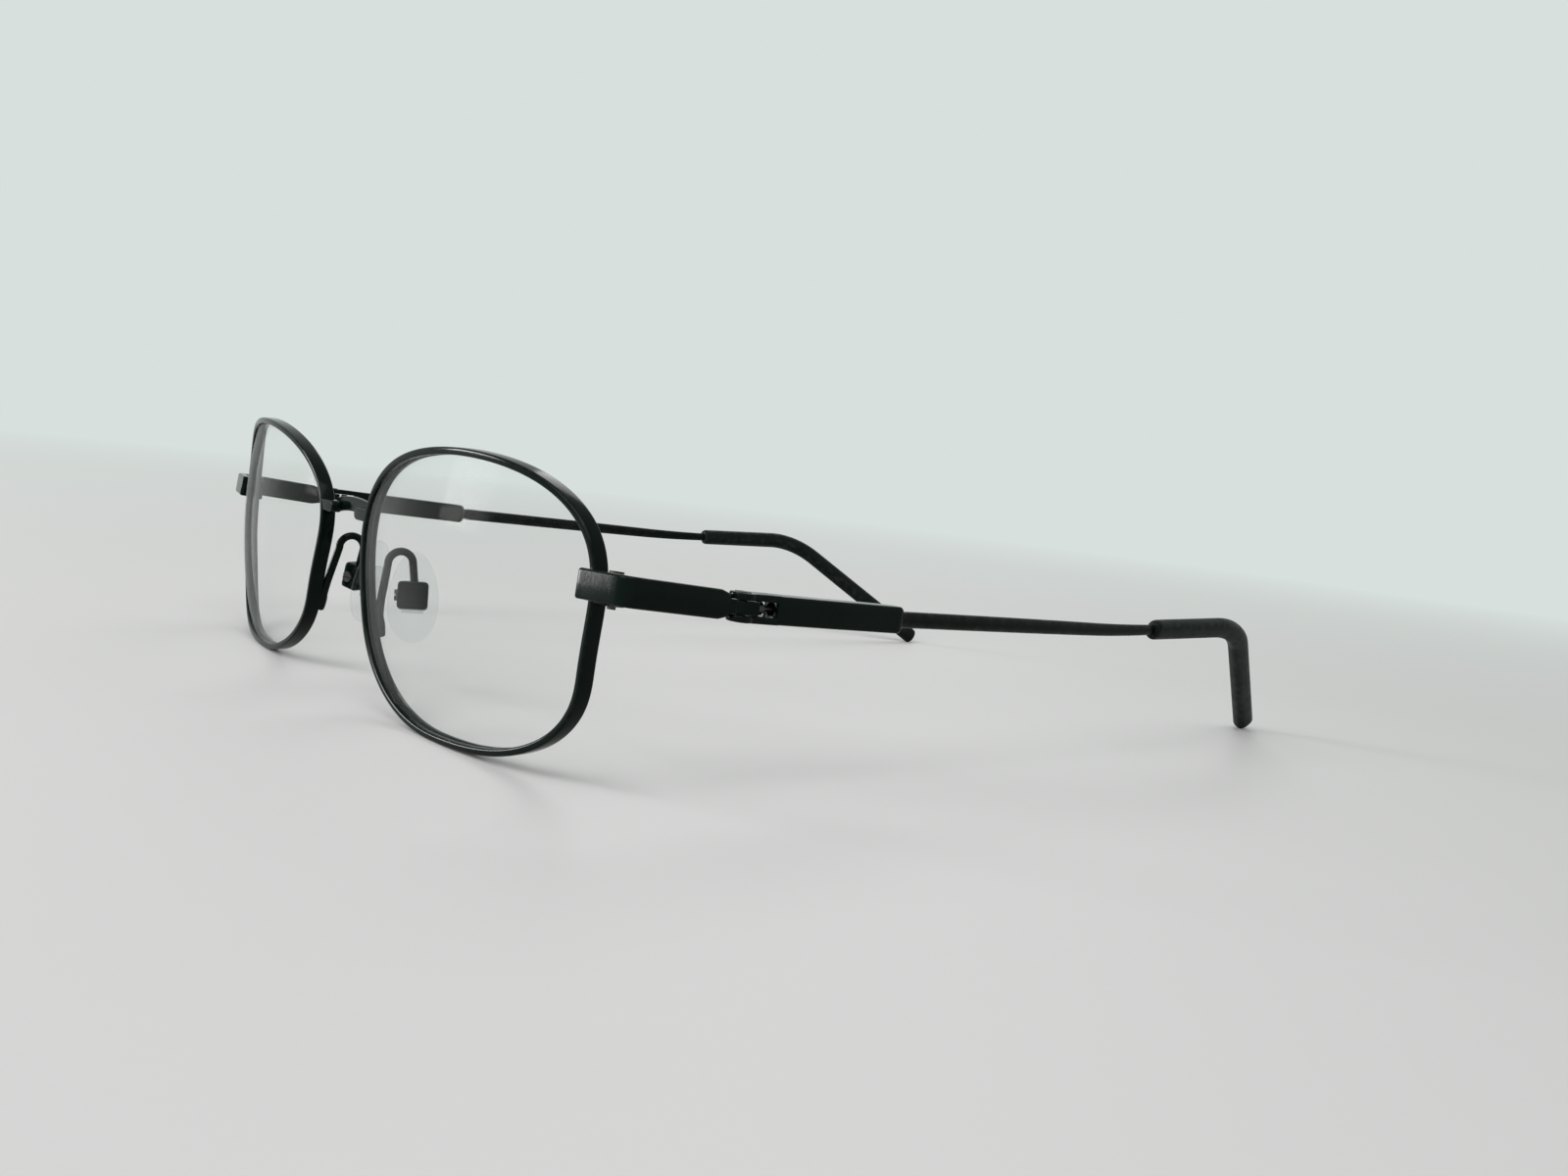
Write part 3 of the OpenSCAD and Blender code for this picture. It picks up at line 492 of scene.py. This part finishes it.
def barSkin():
    # Rows on a circle through both ends and the top, from the left end to the right. Its radius is
    # half the length squared plus the rise squared, over twice the rise.
    half, rise = lugAt[0] - bridge["barIn"], bridge["rise"]
    radius = (half ** 2 + rise ** 2) / (2 * rise)
    mid = radius - bridge["barHigh"] / 2
    turn = math.asin(half / radius)
    long = 2 * turn * mid
    s, draw = softEnds(long, bridge["barEdge"], np.linspace(0.4, long - 0.4, bridge["barRows"]))
    thick, high = bridge["barThick"] - 2 * draw, bridge["barHigh"] - 2 * draw
    o = roundedBox(thick, high, bridge["barCorner"] - draw * 0.9)
    a = (s / mid - turn)[:, None]
    x, z = (mid + o[..., 1]) * np.sin(a), (mid + o[..., 1]) * np.cos(a)
    y = lugAt[1] + bridge["lugBack"] + bridge["barThick"] / 2 + o[..., 0]
    return frontPlace(points(x, y, lugAt[2] + bridge["barUp"] + rise - radius + z)), False, boxRub()


makePair("bridge_lug", [lugSkin()], "front", blackEnamel)
makePiece("bridge_bar_fine", [barSkin()], "front", blackEnamel, ["bridge_bar"])
print("made the bridge")

# Endpiece: a flat bar across the rim, round the corner and back to the hinge tongue with its cam corner
barStart = np.array([endpiece["startIn"] - endpiece["out"],
                     -endpiece["startGap"] - (rimShape["depth"] + endpiece["thick"]) / 2 - endpiece["back"]])


def endpieceBarSkin():
    # Straight at the rake, an arc about the corner's centre, then straight back at the splay to the neck.
    # The front's length comes from crossing both straight lines, less the arc's share of the corner.
    rake, splay = (math.radians(endpiece[k]) for k in ("rake", "splay"))
    turnR = endpiece["cornerRadius"]
    turn, ahead = math.pi / 2 + splay - rake, np.array([math.cos(rake), math.sin(rake)])
    toNeck, out = np.array([0, -endpiece["neck"]]) - barStart, np.array([math.sin(splay), -math.cos(splay)])
    meet = (toNeck[0] * out[1] - toNeck[1] * out[0]) / (ahead[0] * out[1] - ahead[1] * out[0])
    straight, arc = meet - turnR * math.tan(turn / 2), turnR * turn
    after = np.linalg.norm(barStart + meet * ahead - [0, -endpiece["neck"]]) - turnR * math.tan(turn / 2)
    stops = [np.linspace(0.6, straight, 8), straight + arc * np.linspace(0.07, 1, 14),
             straight + arc + after * np.linspace(0.03, 0.95, 40)]
    s, draw = softEnds(straight + arc + after, endpiece["endRound"], np.concatenate(stops), 6)
    heading = rake + np.clip((s - straight) / arc, 0, 1) * turn
    first, last = np.minimum(s, straight), np.maximum(0, s - straight - arc)
    x = barStart[0] + first * ahead[0] + turnR * (np.sin(heading) - math.sin(rake)) - last * math.sin(splay)
    y = barStart[1] + first * ahead[1] + turnR * (math.cos(rake) - np.cos(heading)) + last * math.cos(splay)
    toEnd = np.clip(1 - (straight + arc + after - s) / endpiece["endSlope"], 0, 1)
    high = endpiece["high"] - 2 * np.maximum(draw, endpiece["endDrop"] * toEnd)
    o = roundedBox(endpiece["thick"] - 2 * draw, high, endpiece["edge"] - draw)
    side = points(np.sin(heading), -np.cos(heading))[:, None] * o[..., :1]
    return barPlace(points(x[:, None] + side[..., 0], y[:, None] + side[..., 1], o[..., 1])), False, boxRub()


def drilledPlate(outer, levels):
    # A plate with a hole about the pin: each level is (how far in from the outer edge, or None,
    # radius, height)
    a = np.linspace(0, 2 * math.pi, len(outer), endpoint=False)
    r = np.stack([np.full(len(outer), radius) if inset is None else outer - inset
                  for inset, radius, _ in levels])
    z = np.array([level[2] for level in levels])[:, None]
    return points(r * np.cos(a), r * np.sin(a), z)


def softEdge(low, high, radius, steps=4):
    # Levels of a plate's outer side with both edges rounded: the inset is radius less radius times the sine
    t = np.linspace(0, math.pi / 2, steps + 1)
    lower = [(radius * (1 - math.sin(v)), 0, low + radius * (1 - math.cos(v))) for v in t]
    return lower + [(inset, 0, high + low - z) for inset, _, z in lower[::-1]]


plateAngles = np.linspace(0, 2 * math.pi, 160, endpoint=False)


def tongueSkin():
    # The farthest of a disc, the neck and the cam corner along each angle, drilled for the pin
    t, h, front = endpiece["thick"] / 2, endpiece["tongueHigh"] / 2, -endpiece["neck"] - endpiece["neckSunk"]
    neckBox = [(-t, front), (t, front), (t, 0.01), (-t, 0.01)]
    cam = np.array(endpiece["cam"]) - 0.001   # moved round the centre, so that every ray meets its edge
    outer = np.maximum(reach(plateAngles, neckBox), reach(plateAngles, cam))
    outer = np.maximum(outer, endpiece["tongueRadius"])
    hole = [(None, endpiece["bore"], h), (None, endpiece["bore"], -h)]
    return sidePlace(drilledPlate(outer, softEdge(-h, h, endpiece["tongueEdge"]) + hole)), True, 0.3


makePair("endpiece", [endpieceBarSkin(), tongueSkin()], "front", blackEnamel)

# Rim lock: two small blocks behind the endpiece, one on each side of the rim's slit
lock = {"from": 1.6, "to": 4.3, "deep": 2.6, "sunk": 0.1, "up": 1.25, "down": 1.85, "gap": 0.15,
        "corner": 0.35, "edge": 0.2}


def lockSkin(low, high):
    # A box with round corners, carried upwards by high from low, its front sunk into the endpiece
    s, draw = softEnds(high, lock["edge"])
    wide, deep = lock["to"] - lock["from"], lock["deep"] + lock["sunk"]
    o = roundedBox(wide - 2 * draw, deep - 2 * draw, lock["corner"] - draw)
    x = o[..., 0] + (lock["from"] + lock["to"]) / 2
    y = o[..., 1] + (endpiece["thick"] / 2 + lock["deep"] / 2 - lock["sunk"] / 2)
    p = turned(2, endpiece["rake"], points(x, y, (low + s)[:, None]))
    return barPlace(p + np.array([barStart[0], barStart[1], 0])), False, boxRub() * 0.8


makePair("lock_upper", [lockSkin(lock["gap"], lock["up"])], "front", blackEnamel)
makePair("lock_lower", [lockSkin(-lock["gap"] - lock["down"], lock["down"])], "front", blackEnamel)

# Spring box: a fork round the tongue, and a body with a bore in front that tapers to a round rear end
springBox = {"long": 26.4, "wide": 2.8, "rearWide": 2.2, "taperFrom": 14, "high": 3.45, "edge": 0.3,
             "rearRadius": 0.9, "rearDraw": 0.3, "rearSteps": 12, "rows": 30,
             "frontAt": (0, 0.04, 0.12, 0.3), "frontDraw": (0.15, 0.08, 0.02, 0),
             "frontEdge": (0.07, 0.04, 0.01, 0), "knuckle": 1.6, "forkGap": 1.8, "forkDeep": 4.6,
             "forkSunk": 0.4, "forkEdge": 0.22, "armSine": 0.36,
             "bore": 0.85, "boreEnd": 16.2, "pinBore": 0.63, "headBore": 1.0, "headSunk": 0.35}


def forkSkin(upper):
    # One arm: a disc round the pin and a straight arm back into the body. The upper arm is bored wider
    # from above for the screw's head, and the lower is its mirror image with a plain bore.
    w, gap, top = springBox["wide"] / 2, springBox["forkGap"] / 2, springBox["high"] / 2
    rear, knuckle, pin, seat = (springBox[k] for k in ("forkDeep", "knuckle", "pinBore", "headBore"))
    rear += springBox["forkSunk"]
    outer = np.maximum(reach(plateAngles, [(-w, -0.001), (w, -0.001), (w, rear), (-w, rear)]), knuckle)
    outer = np.where(np.sin(plateAngles) > springBox["armSine"], outer, knuckle)
    floor = top - springBox["headSunk"]
    headed = [(None, seat, top), (None, seat, floor), (None, pin, floor), (None, pin, gap)]
    plain = [(None, pin, top), (None, pin, gap)]
    p = drilledPlate(outer, softEdge(gap, top, springBox["forkEdge"]) + (headed if upper else plain))
    return templePlace(p * np.array([1, 1, 1 if upper else -1])), True, 0.35


def boxBodySkin():
    # Rounded sections along y. The width tapers behind the middle, and at the rear end the height
    # follows a quarter circle: straight part plus radius times the cosine where y goes by its sine.
    # The bore goes in from the front as a circle in even steps.
    long, r, front = springBox["long"], springBox["rearRadius"], springBox["forkDeep"]
    t, plain = np.linspace(0, math.pi / 2, springBox["rearSteps"]), np.zeros(springBox["rows"])
    y = np.concatenate([front + np.array(springBox["frontAt"]),
                        np.linspace(front + 0.8, long - r - 0.3, springBox["rows"]),
                        long - r + r * np.sin(t)])
    taper = np.clip((y - springBox["taperFrom"]) / (long - springBox["taperFrom"]), 0, 1)
    wide = springBox["wide"] + (springBox["rearWide"] - springBox["wide"]) * taper
    wide -= 2 * np.concatenate([springBox["frontDraw"], plain, springBox["rearDraw"] * (1 - np.cos(t))])
    high = springBox["high"] - 2 * np.concatenate([springBox["frontDraw"], plain, r * (1 - np.cos(t))])
    corner = np.concatenate([springBox["edge"] - np.array(springBox["frontEdge"]), springBox["edge"] + plain,
                             springBox["edge"] + 0.1 * np.sin(t)])
    o = roundedBox(wide, high, corner)
    ways = (np.arange(o.shape[1]) + 0.5) * 2 * math.pi / o.shape[1]
    bore = springBox["bore"] * points(np.cos(ways), np.sin(ways))
    rows = np.concatenate([np.broadcast_to(bore, (2,) + bore.shape), o])
    y = np.concatenate([[springBox["boreEnd"], front], y])
    return templePlace(points(rows[..., 0], y[:, None], rows[..., 1])), False, boxRub()


makePair("spring_box", [boxBodySkin(), forkSkin(True), forkSkin(False)], "temple", blackEnamel)

# Temple wire: an oval wire that thins to the back, almost in line with the box and then bending up to
# the tip's slope
wire = {"high": 2.15, "thick": 1.4, "rise": 1.25, "tipRise": 4, "last": 16, "tipFrom": 84, "shank": 0.72,
        "shoulder": 1.2, "thins": 0.25, "sides": 32, "rows": 90}
wireRun = wire["tipFrom"] - springBox["long"]


def wireHeight(s):
    # Straight at the first slope, then a parabola over the last stretch, straight again in the tip
    up, later = (math.tan(math.radians(wire[k])) for k in ("rise", "tipRise"))
    b = np.clip(s - wireRun + wire["last"], 0, wire["last"])
    bent = (later - up) * b * b / (2 * wire["last"])
    return up * np.minimum(s, wireRun) + bent + later * np.maximum(0, s - wireRun)


def wireSkin():
    # Ellipses along the wire. Their size falls by the cube of the distance, and at the shoulder it rises
    # from the round shank by the root of the distance.
    s = np.concatenate([[-2, -0.2], np.linspace(0, wire["shoulder"], 6),
                        np.linspace(2, wireRun + 1, wire["rows"])])
    full = 1 - wire["thins"] * np.clip(s / wireRun, 0, 1) ** 3
    swell = np.clip(s / wire["shoulder"], 0, 1) ** 0.5
    rt = wire["shank"] + swell * (full * wire["thick"] / 2 - wire["shank"])
    rh = wire["shank"] + swell * (full * wire["high"] / 2 - wire["shank"])
    a = np.linspace(0, 2 * math.pi, wire["sides"], endpoint=False)
    z = wireHeight(np.maximum(0, s))[:, None] + rh[:, None] * np.sin(a)
    oval = points(rt[:, None] * np.cos(a), (springBox["long"] + s)[:, None], z)
    return templePlace(oval), False, np.abs(np.sin(a)) * 0.7


makePair("temple_wire", [wireSkin()], "temple", satinWire)

# Tip: a rounded oblong section carried straight, round the bend and down the drop
tip = {"straight": 18.5, "bend": 18, "drop": 40, "inwards": 31, "long": 62.8531, "high": 3.2, "thick": 2.5,
       "square": 2.6, "swell": 0.12, "mouthDraw": 0.2, "endDraw": 0.25, "cap": 0.4, "capDraw": 0.35,
       "sides": 44}


def tipSkin():
    # The section is a superellipse. It grows evenly to the back, by the swell in all, opens over the
    # first millimetre by a quarter circle, and closes over the last one by the square of the distance
    # and then, in the cap, by a quarter circle.
    end, cap, drop, inner = tip["long"], tip["cap"], math.radians(tip["drop"]), tip["bend"]
    toDrop = tip["straight"] + inner * drop
    s = np.concatenate([1 - np.cos(np.linspace(0, math.pi / 2, 8)), np.linspace(2, tip["straight"] - 0.5, 24),
                        np.linspace(tip["straight"], toDrop, 26), np.linspace(toDrop + 0.7, end - 1.2, 40),
                        end - 1 + np.linspace(0, 0.6, 5),
                        end - cap + cap * np.sin(np.linspace(0.2, math.pi / 2, 7))])
    a, b = np.clip(s, 0, 1), np.clip(s - end + 1, 0, 1)
    mouth = 1 - tip["mouthDraw"] + tip["mouthDraw"] * np.sqrt(a * (2 - a))
    full = (1 + tip["swell"] * s / end) * np.where(s < 1, mouth, 1 - tip["endDraw"] * b * b)
    late = np.clip((s - end + cap) / cap, 0, 1)
    full = full * (1 - tip["capDraw"] * (1 - np.sqrt(1 - late ** 2)))
    k = np.linspace(0, 2 * math.pi, tip["sides"], endpoint=False)
    r = (np.abs(np.cos(k)) ** tip["square"] + np.abs(np.sin(k)) ** tip["square"]) ** (-1 / tip["square"])
    u = full[:, None] * tip["thick"] / 2 * r * np.cos(k)
    v = full[:, None] * tip["high"] / 2 * r * np.sin(k)
    turn = (np.clip((s - tip["straight"]) / (inner * drop), 0, 1) * drop)[:, None]
    past = np.maximum(0, s - toDrop)[:, None]
    ahead = np.minimum(s, tip["straight"])[:, None] + inner * np.sin(turn) + past * np.cos(turn)
    down = inner * (1 - np.cos(turn)) + past * np.sin(turn)
    p = turned(1, tip["inwards"], points(u, ahead + v * np.sin(turn), v * np.cos(turn) - down))
    p = turned(0, wire["tipRise"], p) + np.array([0, wire["tipFrom"], float(wireHeight(np.array(wireRun)))])
    return templePlace(p), False, np.abs(np.sin(2 * k)) * 0.6


makePair("temple_tip", [tipSkin()], "temple", satinTip)

# Nose pads. The arm is a round wire: a foot on the rim's back, a leg, a loop and a leg to the pad box.
# Its swell is the radius at each stop of its route, as a share of its thickness.
padStance = {"at": (10.2, 7.6, -3.7), "turn": 25, "lean": 12, "rock": 8}
padArm = {"thick": 1.1, "sides": 20, "foot": 195, "footBack": 0.3, "shin": 183, "shinBack": 0.35,
          "loop": 1.85, "loopAt": (-0.9, 0.2, 4.3), "endIn": 0.15, "endBack": 0.1, "endSunk": 0.25,
          "swell": [0.25, 0.5, 0.62, 0.56, 0.5225, 0.515, 0.5075] + [0.5] * 13}
padBox = {"deep": 2.4, "wide": 4.2, "high": 3.9, "corner": 0.55, "edge": 0.3, "holeDeep": 2.1,
          "holeWide": 2.6, "holeHigh": 2.7, "holeCorner": 0.35, "lipBack": (0.12, 0.05, 0),
          "lipDraw": (0, 0.02, 0.1)}
padShape = {"long": 13, "wide": 7, "thick": 2.3, "clear": 0.22, "egg": 0.14, "sides": 72,
            "profile": [(0, 0.02), (0, 0.45), (0.02, 0.72), (0.14, 0.9), (0.38, 1), (0.6, 0.98),
                        (0.8, 0.86), (0.93, 0.66), (0.995, 0.34), (1, 0.02)]}


def padPlace(p):
    # The pad box's own place: leaning, turned towards the nose, then moved beside the bridge
    p = turned(2, -padStance["turn"], turned(1, -padStance["lean"], p))
    return frontPlace(p + np.array(padStance["at"]))


def padArmSkin():
    # Circles square to the arm's route. The route is a smooth curve through the foot, a half circle for
    # the loop and the arm's end, and each circle's first axis is x less its share along the route.
    low = rimAt(padArm["foot"], rimShape["wall"] / 2, rimShape["depth"] / 2 + padArm["footBack"])
    top = rimAt(padArm["shin"], rimShape["wall"] / 2, rimShape["depth"] / 2 + padArm["shinBack"])
    r, padAt = padArm["loop"], np.array(padStance["at"])
    mid = padAt + np.array(padArm["loopAt"]) - np.array([0, r, 0])
    into, out = mid + np.array([0, -r, 0]), mid + np.array([0, r, 0])
    last = padAt + np.array([padArm["endIn"], padArm["endBack"], padBox["high"] / 2 - padArm["endSunk"]])
    t = np.radians(18 * np.arange(11))
    loop = mid + r * points(0 * t, -np.cos(t), np.sin(t))
    route = np.concatenate([[low + f * (top - low) for f in (0, 0.08, 0.5, 0.85)],
                            [top + f * (into - top) for f in (0.25, 0.5, 0.75)], loop,
                            [out + f * (last - out) for f in (0.35, 1)]])
    thick = padArm["thick"] * np.array(padArm["swell"])
    both = smoothThrough(np.concatenate([route, thick[:, None]], axis=1), 6)
    p, radius = both[:, :3], both[:, 3]
    way = np.gradient(p, axis=0)
    way /= np.linalg.norm(way, axis=1, keepdims=True)
    u = np.array([1.0, 0, 0]) - way[:, :1] * way
    u /= np.linalg.norm(u, axis=1, keepdims=True)
    v = np.cross(way, u)
    a = np.linspace(0, 2 * math.pi, padArm["sides"], endpoint=False)[None, :, None]
    ring = p[:, None] + radius[:, None, None] * (np.cos(a) * u[:, None] + np.sin(a) * v[:, None])
    return frontPlace(ring), False, 0.15


def padBoxSkin():
    # A cup: rounded sections from the closed back to the open front, then inside again to the
    # bottom of the hole
    x0, x1 = padBox["deep"] / 2, -padBox["deep"] / 2
    t = np.linspace(0, math.pi / 2, 6)
    draw = np.concatenate([padBox["edge"] * (1 - np.sin(t)), padBox["lipDraw"]])
    x = np.concatenate([x0 - padBox["edge"] * (1 - np.cos(t)), x1 + np.array(padBox["lipBack"])])
    o = roundedBox(padBox["wide"] - 2 * draw, padBox["high"] - 2 * draw, padBox["corner"] - draw)
    hole = roundedBox(*(np.full(2, padBox[k]) for k in ("holeWide", "holeHigh", "holeCorner")))
    x = np.concatenate([x, [x1, x1 + padBox["holeDeep"]]])
    o = np.concatenate([o, hole])
    return padPlace(points(x[:, None], o[..., 0], o[..., 1])), False, boxRub() * 0.6


def padSkin():
    # An egg outline, narrower at its upper end, scaled by a rounded profile through the thickness.
    # It stands off the box by the room that its upper and lower edges need when it rocks.
    room = math.tan(math.radians(padStance["rock"])) * padBox["high"] / 2
    rear = -padBox["deep"] / 2 - (padShape["clear"] + room)
    profile = smoothThrough(padShape["profile"], 5)
    depth, size = np.clip(profile[:, 0], 0, 1), np.clip(profile[:, 1], 0.01, 1)
    a = np.linspace(0, 2 * math.pi, padShape["sides"], endpoint=False)
    y = np.cos(a) * (1 - padShape["egg"] * np.sin(a)) * padShape["wide"] / 2
    z = np.sin(a) * padShape["long"] / 2
    x = (rear - padShape["thick"] * depth)[:, None]
    return padPlace(points(x, size[:, None] * y, size[:, None] * z)), False, 0.0


makePair("pad_arm", [padArmSkin()], "front", blackEnamel)
makePair("pad_box", [padBoxSkin()], "front", blackEnamel)
for cushion in makePair("pad", [padSkin()], "pad", clearSilicone, 60):
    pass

# The screws, plungers, springs and pad cores keep their solids
keptFinish = {"hinge_screw": turnedSteel, "lock_screw": turnedSteel, "pad_screw": turnedSteel,
              "plunger": turnedSteel, "spring": springWire, "pad_core": clearCore}
for side in ("left", "right"):
    for name, finish in keptFinish.items():
        for place in frame["nodes"][f"{side}_{name}"].material_slots:
            place.material = finish
print("kept", 2 * len(keptFinish), "plain solids with new finishes")

# Pale floor and backdrop
stageLook = {"floor": (0.62, 0.615, 0.61, 1), "dull": 0.6, "smears": 5.0, "smearGloss": 0.06, "reach": 4.0,
             "wall": (0.685, 0.745, 0.72, 1), "fade": (0.16, 0.8), "roomTint": (0.96, 1.0, 0.99, 1),
             "room": 0.24}


def floorFinish():
    b = newFinish("pale floor")
    spot = b.node("TexCoord", {}, {}, "Object")
    away = b.node("VectorMath", {"operation": "LENGTH"}, {0: spot}, "Value")
    smears = b.node("TexNoise", {}, {"Vector": spot, "Scale": stageLook["smears"], "Detail": 2.0})
    faint = smears.within(0.3, 0.7)
    top = b.node("BsdfPrincipled", {}, {
        "Base Color": stageLook["floor"], "Roughness": faint * stageLook["smearGloss"] + stageLook["dull"]})
    haze = b.node("Emission", {}, {"Color": stageLook["wall"], "Strength": 1.0})
    # The floor turns into the backdrop's colour in the distance, so that no edge shows
    return b.finish(b.node("MixShader", {}, {0: away.within(*stageLook["fade"]), 1: top, 2: haze}))


def makeStage():
    r = stageLook["reach"]
    mesh = bpy.data.meshes.new("floor")
    mesh.from_pydata([(-r, -r, 0), (r, -r, 0), (r, r, 0), (-r, r, 0)], [], [(0, 1, 2, 3)])
    mesh.materials.append(floorFinish())
    floor = bpy.data.objects.new("floor", mesh)
    bpy.context.scene.collection.objects.link(floor)


makeStage()

# Soft square lamps that face the middle of the object: a large key at the front, a wide fill above, one
# from behind, and a small low one at the front right. Each has a name, its place and side in metres,
# and its watts.
lights = [("key", (0.10, -0.85, 0.62), 0.7, 6.0), ("fill", (0.55, -0.30, 1.0), 0.7, 4.0),
          ("strip", (-0.60, 0.60, 0.75), 0.5, 2.6), ("low", (-0.82, -0.88, 0.17), 0.3, 9.0)]
for name, spot, size, power in lights:
    lamp = bpy.data.lights.new(name, "AREA")
    lamp.shape, lamp.size, lamp.energy = "SQUARE", size, power
    holder = bpy.data.objects.new(name, lamp)
    bpy.context.scene.collection.objects.link(holder)
    back = np.array(spot) / np.linalg.norm(spot)
    side = np.cross([0, 0, 1], back) / np.linalg.norm(np.cross([0, 0, 1], back))
    up = np.cross(back, side)
    holder.matrix_world = Matrix([[side[i], up[i], back[i], spot[i]] for i in range(3)] + [[0, 0, 0, 1]])


def makeWorld():
    # The camera, glossy surfaces and clear pieces see the pale wall, and everything else gets the dimmer room
    b = Bench(bpy.data.worlds.new("pale room"))
    kinds = ("Camera", "Glossy", "Transmission")
    eye, gloss, clear = (b.node("LightPath", {}, {}, f"Is {kind} Ray") for kind in kinds)
    room = b.node("Background", {}, {"Color": stageLook["roomTint"], "Strength": stageLook["room"]})
    wall = b.node("Background", {}, {"Color": stageLook["wall"], "Strength": 1.0})
    mixed = b.node("MixShader", {}, {0: eye + gloss + clear, 1: room, 2: wall})
    bpy.context.scene.world = b.finish(mixed, "OutputWorld")


makeWorld()
bpy.context.scene.view_settings.view_transform = "Standard"

# Camera at the photograph's place: from the wearer's left front, a little above, with the picture tilted
camera = {"at": (0.190104, -0.151612, 0.039989), "round": 51.09, "above": 5.295, "tilt": 6.904, "lens": 31.26,
          "sensor": 36, "near": 0.005, "far": 20}


def makeCamera():
    # The view's axes from the angle round and above the object, then both turned by the tilt
    az, el, roll = (math.radians(camera[k]) for k in ("round", "above", "tilt"))
    ahead = np.array([-math.sin(az) * math.cos(el), math.cos(az) * math.cos(el), -math.sin(el)])
    right = np.cross(ahead, [0, 0, 1])
    right /= np.linalg.norm(right)
    up = np.cross(right, ahead)
    across = right * math.cos(roll) + up * math.sin(roll)
    upright = up * math.cos(roll) - right * math.sin(roll)
    data = bpy.data.cameras.new("camera")
    data.sensor_fit, data.sensor_width, data.lens = "HORIZONTAL", camera["sensor"], camera["lens"]
    data.clip_start, data.clip_end = camera["near"], camera["far"]
    holder = bpy.data.objects.new("camera", data)
    bpy.context.scene.collection.objects.link(holder)
    rows = [[across[i], upright[i], -ahead[i], camera["at"][i]] for i in range(3)]
    holder.matrix_world = Matrix(rows + [[0, 0, 0, 1]])
    bpy.context.scene.camera = holder


makeCamera()
print("stage, lights and camera set")
